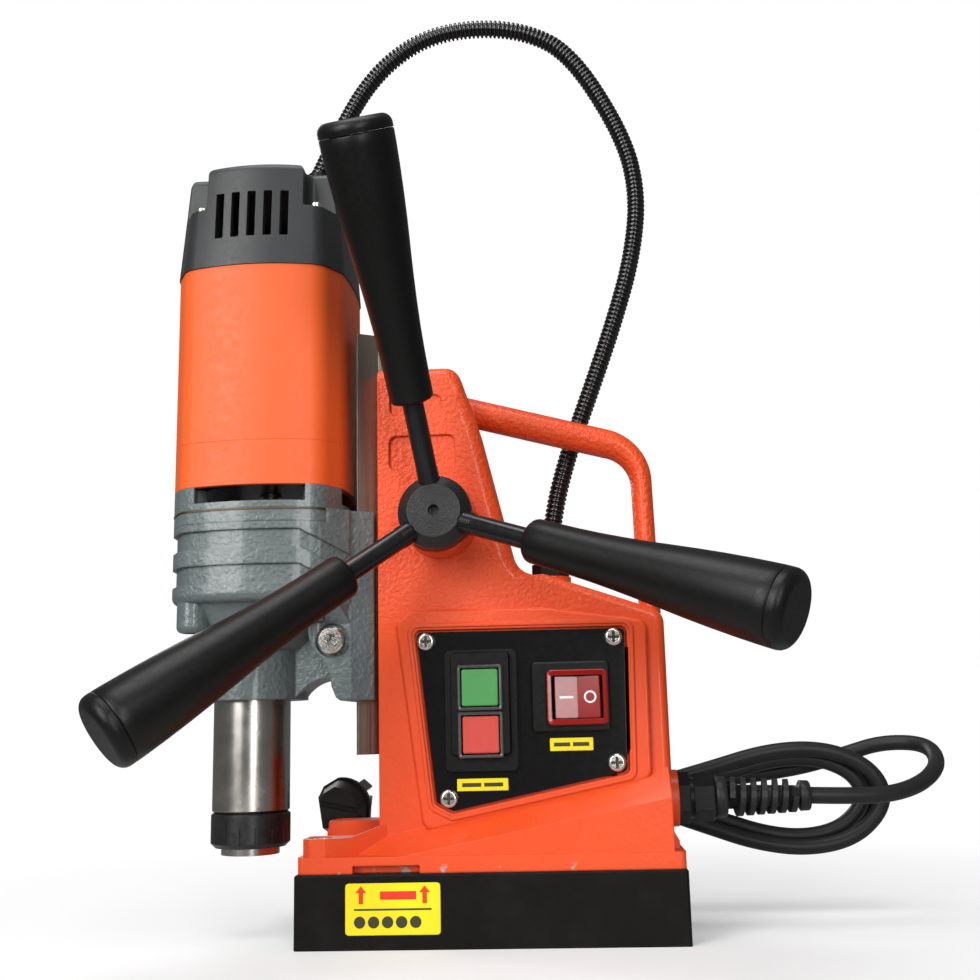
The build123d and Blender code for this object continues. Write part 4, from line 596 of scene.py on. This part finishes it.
def frame_piece(name, centre, outer, inner, front, back, material):
    """Square frame facing -Y: outer and inner are (half width, half height, corner radius)."""
    x, z = centre
    rings = []
    for (half_x, half_z, radius), y in ((outer, back), (outer, front + 0.5), ((outer[0] - 0.5, outer[1] - 0.5,
                                        outer[2]), front), (inner, front + 0.3), (inner, back)):
        outline = rounded(x - half_x, z - half_z, x + half_x, z + half_z, radius)
        rings.append([(px * MM, y * MM, pz * MM) for px, pz in outline])
    count = len(rings[0])
    faces = []
    for ring in range(len(rings)):
        following = (ring + 1) % len(rings)
        for i in range(count):
            j = (i + 1) % count
            faces.append((ring * count + i, following * count + i, following * count + j, ring * count + j))
    return mesh_object(name, [v for ring in rings for v in ring], faces, material, smooth=False)


ROCKER = (43.0, 110.8)
SWITCH = (-3.2, 105.9)


def switch_details():
    """Button frames, the rocker's red surround, and its I and O marks."""
    surround = frame_piece("rocker_surround", (42.8, 110.8), (14.4, 12.9, 2.4), (12.1, 10.2, 0.8),
                           -33.6, -29.8, MATERIALS["red_rocker"])
    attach(surround, "stand")
    for name, lift, front in (("start", 10.4, -35.4), ("stop", -11.6, -34.6)):
        rim = frame_piece(f"{name}_rim", (SWITCH[0], SWITCH[1] + lift), (10.7, 10.7, 1.2), (9.2, 9.2, 0.6),
                          front, -29.6, RIM_GREY)
        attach(rim, "stand")
    bar = [(ROCKER[0] - 8.6, -31.05), (ROCKER[0] - 2.0, -30.1)]
    low_edge = [(x, y, ROCKER[1] - 0.5) for x, y in bar]
    high_edge = [(x, y, ROCKER[1] + 0.5) for x, y in reversed(bar)]
    marks = [slanted("bar", low_edge + high_edge)]
    ring = []
    for radius in (2.9, 2.1):
        for i in range(28):
            a = 2 * pi * i / 28
            x = ROCKER[0] + 5.9 + radius * cos(a)
            ring.append((x, -29.7 - (x - ROCKER[0]) * 0.278, ROCKER[1] + radius * sin(a)))
    faces = [(i, (i + 1) % 28, (i + 1) % 28 + 28, i + 28) for i in range(28)]
    ring_metres = [tuple(c * MM for c in v) for v in ring]
    marks.append(mesh_object("ring", ring_metres, faces, MARK_WHITE, smooth=False))
    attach(joined("rocker_marks", marks), "magnet_rocker")


def slanted(name, corners):
    """White mark with four corners, given in millimetres."""
    in_metres = [tuple(c * MM for c in v) for v in corners]
    return mesh_object(name, in_metres, [(0, 1, 2, 3)], MARK_WHITE, smooth=False)


def strain_relief():
    """Ribbed sleeve: base ring, a spiral rib that thins outwards, and an end ring."""
    axis_z, start = 61.7, 108.0
    core = [(0, 4.2), (0, 9.3), (0.5, 9.7), (5.0, 9.7), (5.5, 9.2), (5.5, 5.8), (40.4, 4.9), (40.4, 6.6),
            (40.9, 7.3), (44.9, 7.1), (45.5, 6.5), (45.5, 4.1)]
    sleeve = lathe("relief_core", (start, 0, axis_z), (1, 0, 0), core, 48, MATERIALS["black_rubber"])
    vertices, faces = [], []
    steps, pitch, turns = 36, 5.1, 6
    total = steps * turns
    for step in range(total + 1):
        a = 2 * pi * step / steps
        x = start + 7.6 + pitch * step / steps
        outer = 9.5 - 1.7 * step / total
        for dx, radius in ((-1.7, 4.6), (-1.25, outer), (1.25, outer), (1.7, 4.6)):
            vertices.append(((x + dx) * MM, -cos(a) * radius * MM, (axis_z + sin(a) * radius) * MM))
    for step in range(total):
        for side in range(4):
            a, b = step * 4 + side, step * 4 + (side + 1) % 4
            faces.append((a, a + 4, b + 4, b))
    faces += [(0, 1, 2, 3), tuple(total * 4 + i for i in (3, 2, 1, 0))]
    spiral = mesh_object("relief_rib", vertices, faces, MATERIALS["black_rubber"], smooth=False)
    piece = joined("strain_relief_ribbed", [sleeve, spiral])
    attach(piece, "stand")
    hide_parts("strain_relief")


hand_wheel()
labels()
switch_details()
crosses()
strain_relief()

# Stage ----------------------------------------------------------------------------------------------------


SURROUND = 0.15  # brightness of the surroundings, as light and in reflections


def floor():
    """Large pale floor that meets the background softly."""
    size = 30.0
    made = mesh_object(
        "floor", [(-size, -size, 0), (size, -size, 0), (size, size, 0), (-size, size, 0)], [(0, 1, 2, 3)],
        floor_material())


def floor_material():
    """Pale floor that whitens with distance, so that no horizon shows."""
    s = Shader("floor", color=(0.86, 0.86, 0.86), rough=0.7, spec=0.1)
    coords = s.node("ShaderNodeTexCoord").outputs["Object"]
    away = s.node("ShaderNodeVectorMath", operation="LENGTH")
    s.tree.links.new(coords, away.inputs[0])
    white = s.node("ShaderNodeEmission", {"Color": (1.0, 1.0, 1.0, 1), "Strength": 1.0})
    dull = s.node("ShaderNodeEmission", {"Color": (1.0, 1.0, 1.0, 1), "Strength": SURROUND})
    camera_ray = s.node("ShaderNodeLightPath").outputs["Is Camera Ray"]
    far = s.node("ShaderNodeMixShader")
    s.tree.links.new(camera_ray, far.inputs[0])
    s.tree.links.new(dull.outputs[0], far.inputs[1])
    s.tree.links.new(white.outputs[0], far.inputs[2])
    blend = s.node("ShaderNodeMixShader")
    s.tree.links.new(s.span(away.outputs["Value"], 0.1, 0.5, 0.3, 1.0), blend.inputs[0])
    s.tree.links.new(s.bsdf.outputs[0], blend.inputs[1])
    s.tree.links.new(far.outputs[0], blend.inputs[2])
    s.tree.links.new(blend.outputs[0], s.tree.nodes["Material Output"].inputs["Surface"])
    return s.mat


def area_light(name, place, target, size, power):
    """Soft box: size is (width, height)."""
    data = bpy.data.lights.new(name, "AREA")
    data.energy = power
    data.shape = "RECTANGLE"
    data.size, data.size_y = size
    made = bpy.data.objects.new(name, data)
    bpy.context.scene.collection.objects.link(made)
    made.location = place
    made.rotation_euler = (Vector(target) - Vector(place)).to_track_quat("-Z", "Y").to_euler()


def studio():
    """White background for the camera over a dim surround, with soft boxes left, right and above."""
    world = bpy.data.worlds.new("studio")
    bpy.context.scene.world = world
    world.use_nodes = True
    tree = world.node_tree
    background = tree.nodes["Background"]
    background.inputs["Color"].default_value = (1, 1, 1, 1)
    light_path = tree.nodes.new("ShaderNodeLightPath")
    strength = tree.nodes.new("ShaderNodeMapRange")
    strength.inputs["To Min"].default_value = SURROUND
    tree.links.new(light_path.outputs["Is Camera Ray"], strength.inputs["Value"])
    tree.links.new(strength.outputs[0], background.inputs["Strength"])
    middle = (0.0, 0.0, 0.2)
    area_light("key", (-0.95, -1.5, 0.85), middle, (0.75, 1.3), 30)
    area_light("fill", (0.5, -1.75, 0.6), middle, (0.35, 1.3), 15)
    area_light("top", (-0.2, -0.35, 1.7), middle, (1.1, 0.9), 15)
    area_light("rim", (-0.6, 1.4, 1.0), middle, (0.6, 1.0), 8)


def camera():
    """Slightly upward view from low in front, at the switch panel's side."""
    yaw, pitch, roll = radians(-3.6), radians(11.14), radians(-1.36)
    ahead = Vector((sin(yaw) * cos(pitch), cos(yaw) * cos(pitch), sin(pitch)))
    right = Vector((cos(yaw), -sin(yaw), 0))
    up = right.cross(ahead)
    turned_right = right * cos(roll) + up * sin(roll)
    turned_up = up * cos(roll) - right * sin(roll)
    data = bpy.data.cameras.new("camera")
    data.lens = 44.08
    data.sensor_width = 36
    data.clip_start = 0.01
    made = bpy.data.objects.new("camera", data)
    bpy.context.scene.collection.objects.link(made)
    made.matrix_world = Matrix.Translation((0.0401, -0.6093, 0.0981)) @ Matrix(
        (turned_right, turned_up, -ahead)).transposed().to_4x4()
    bpy.context.scene.camera = made


floor()
studio()
camera()
bpy.context.scene.view_settings.view_transform = "Standard"
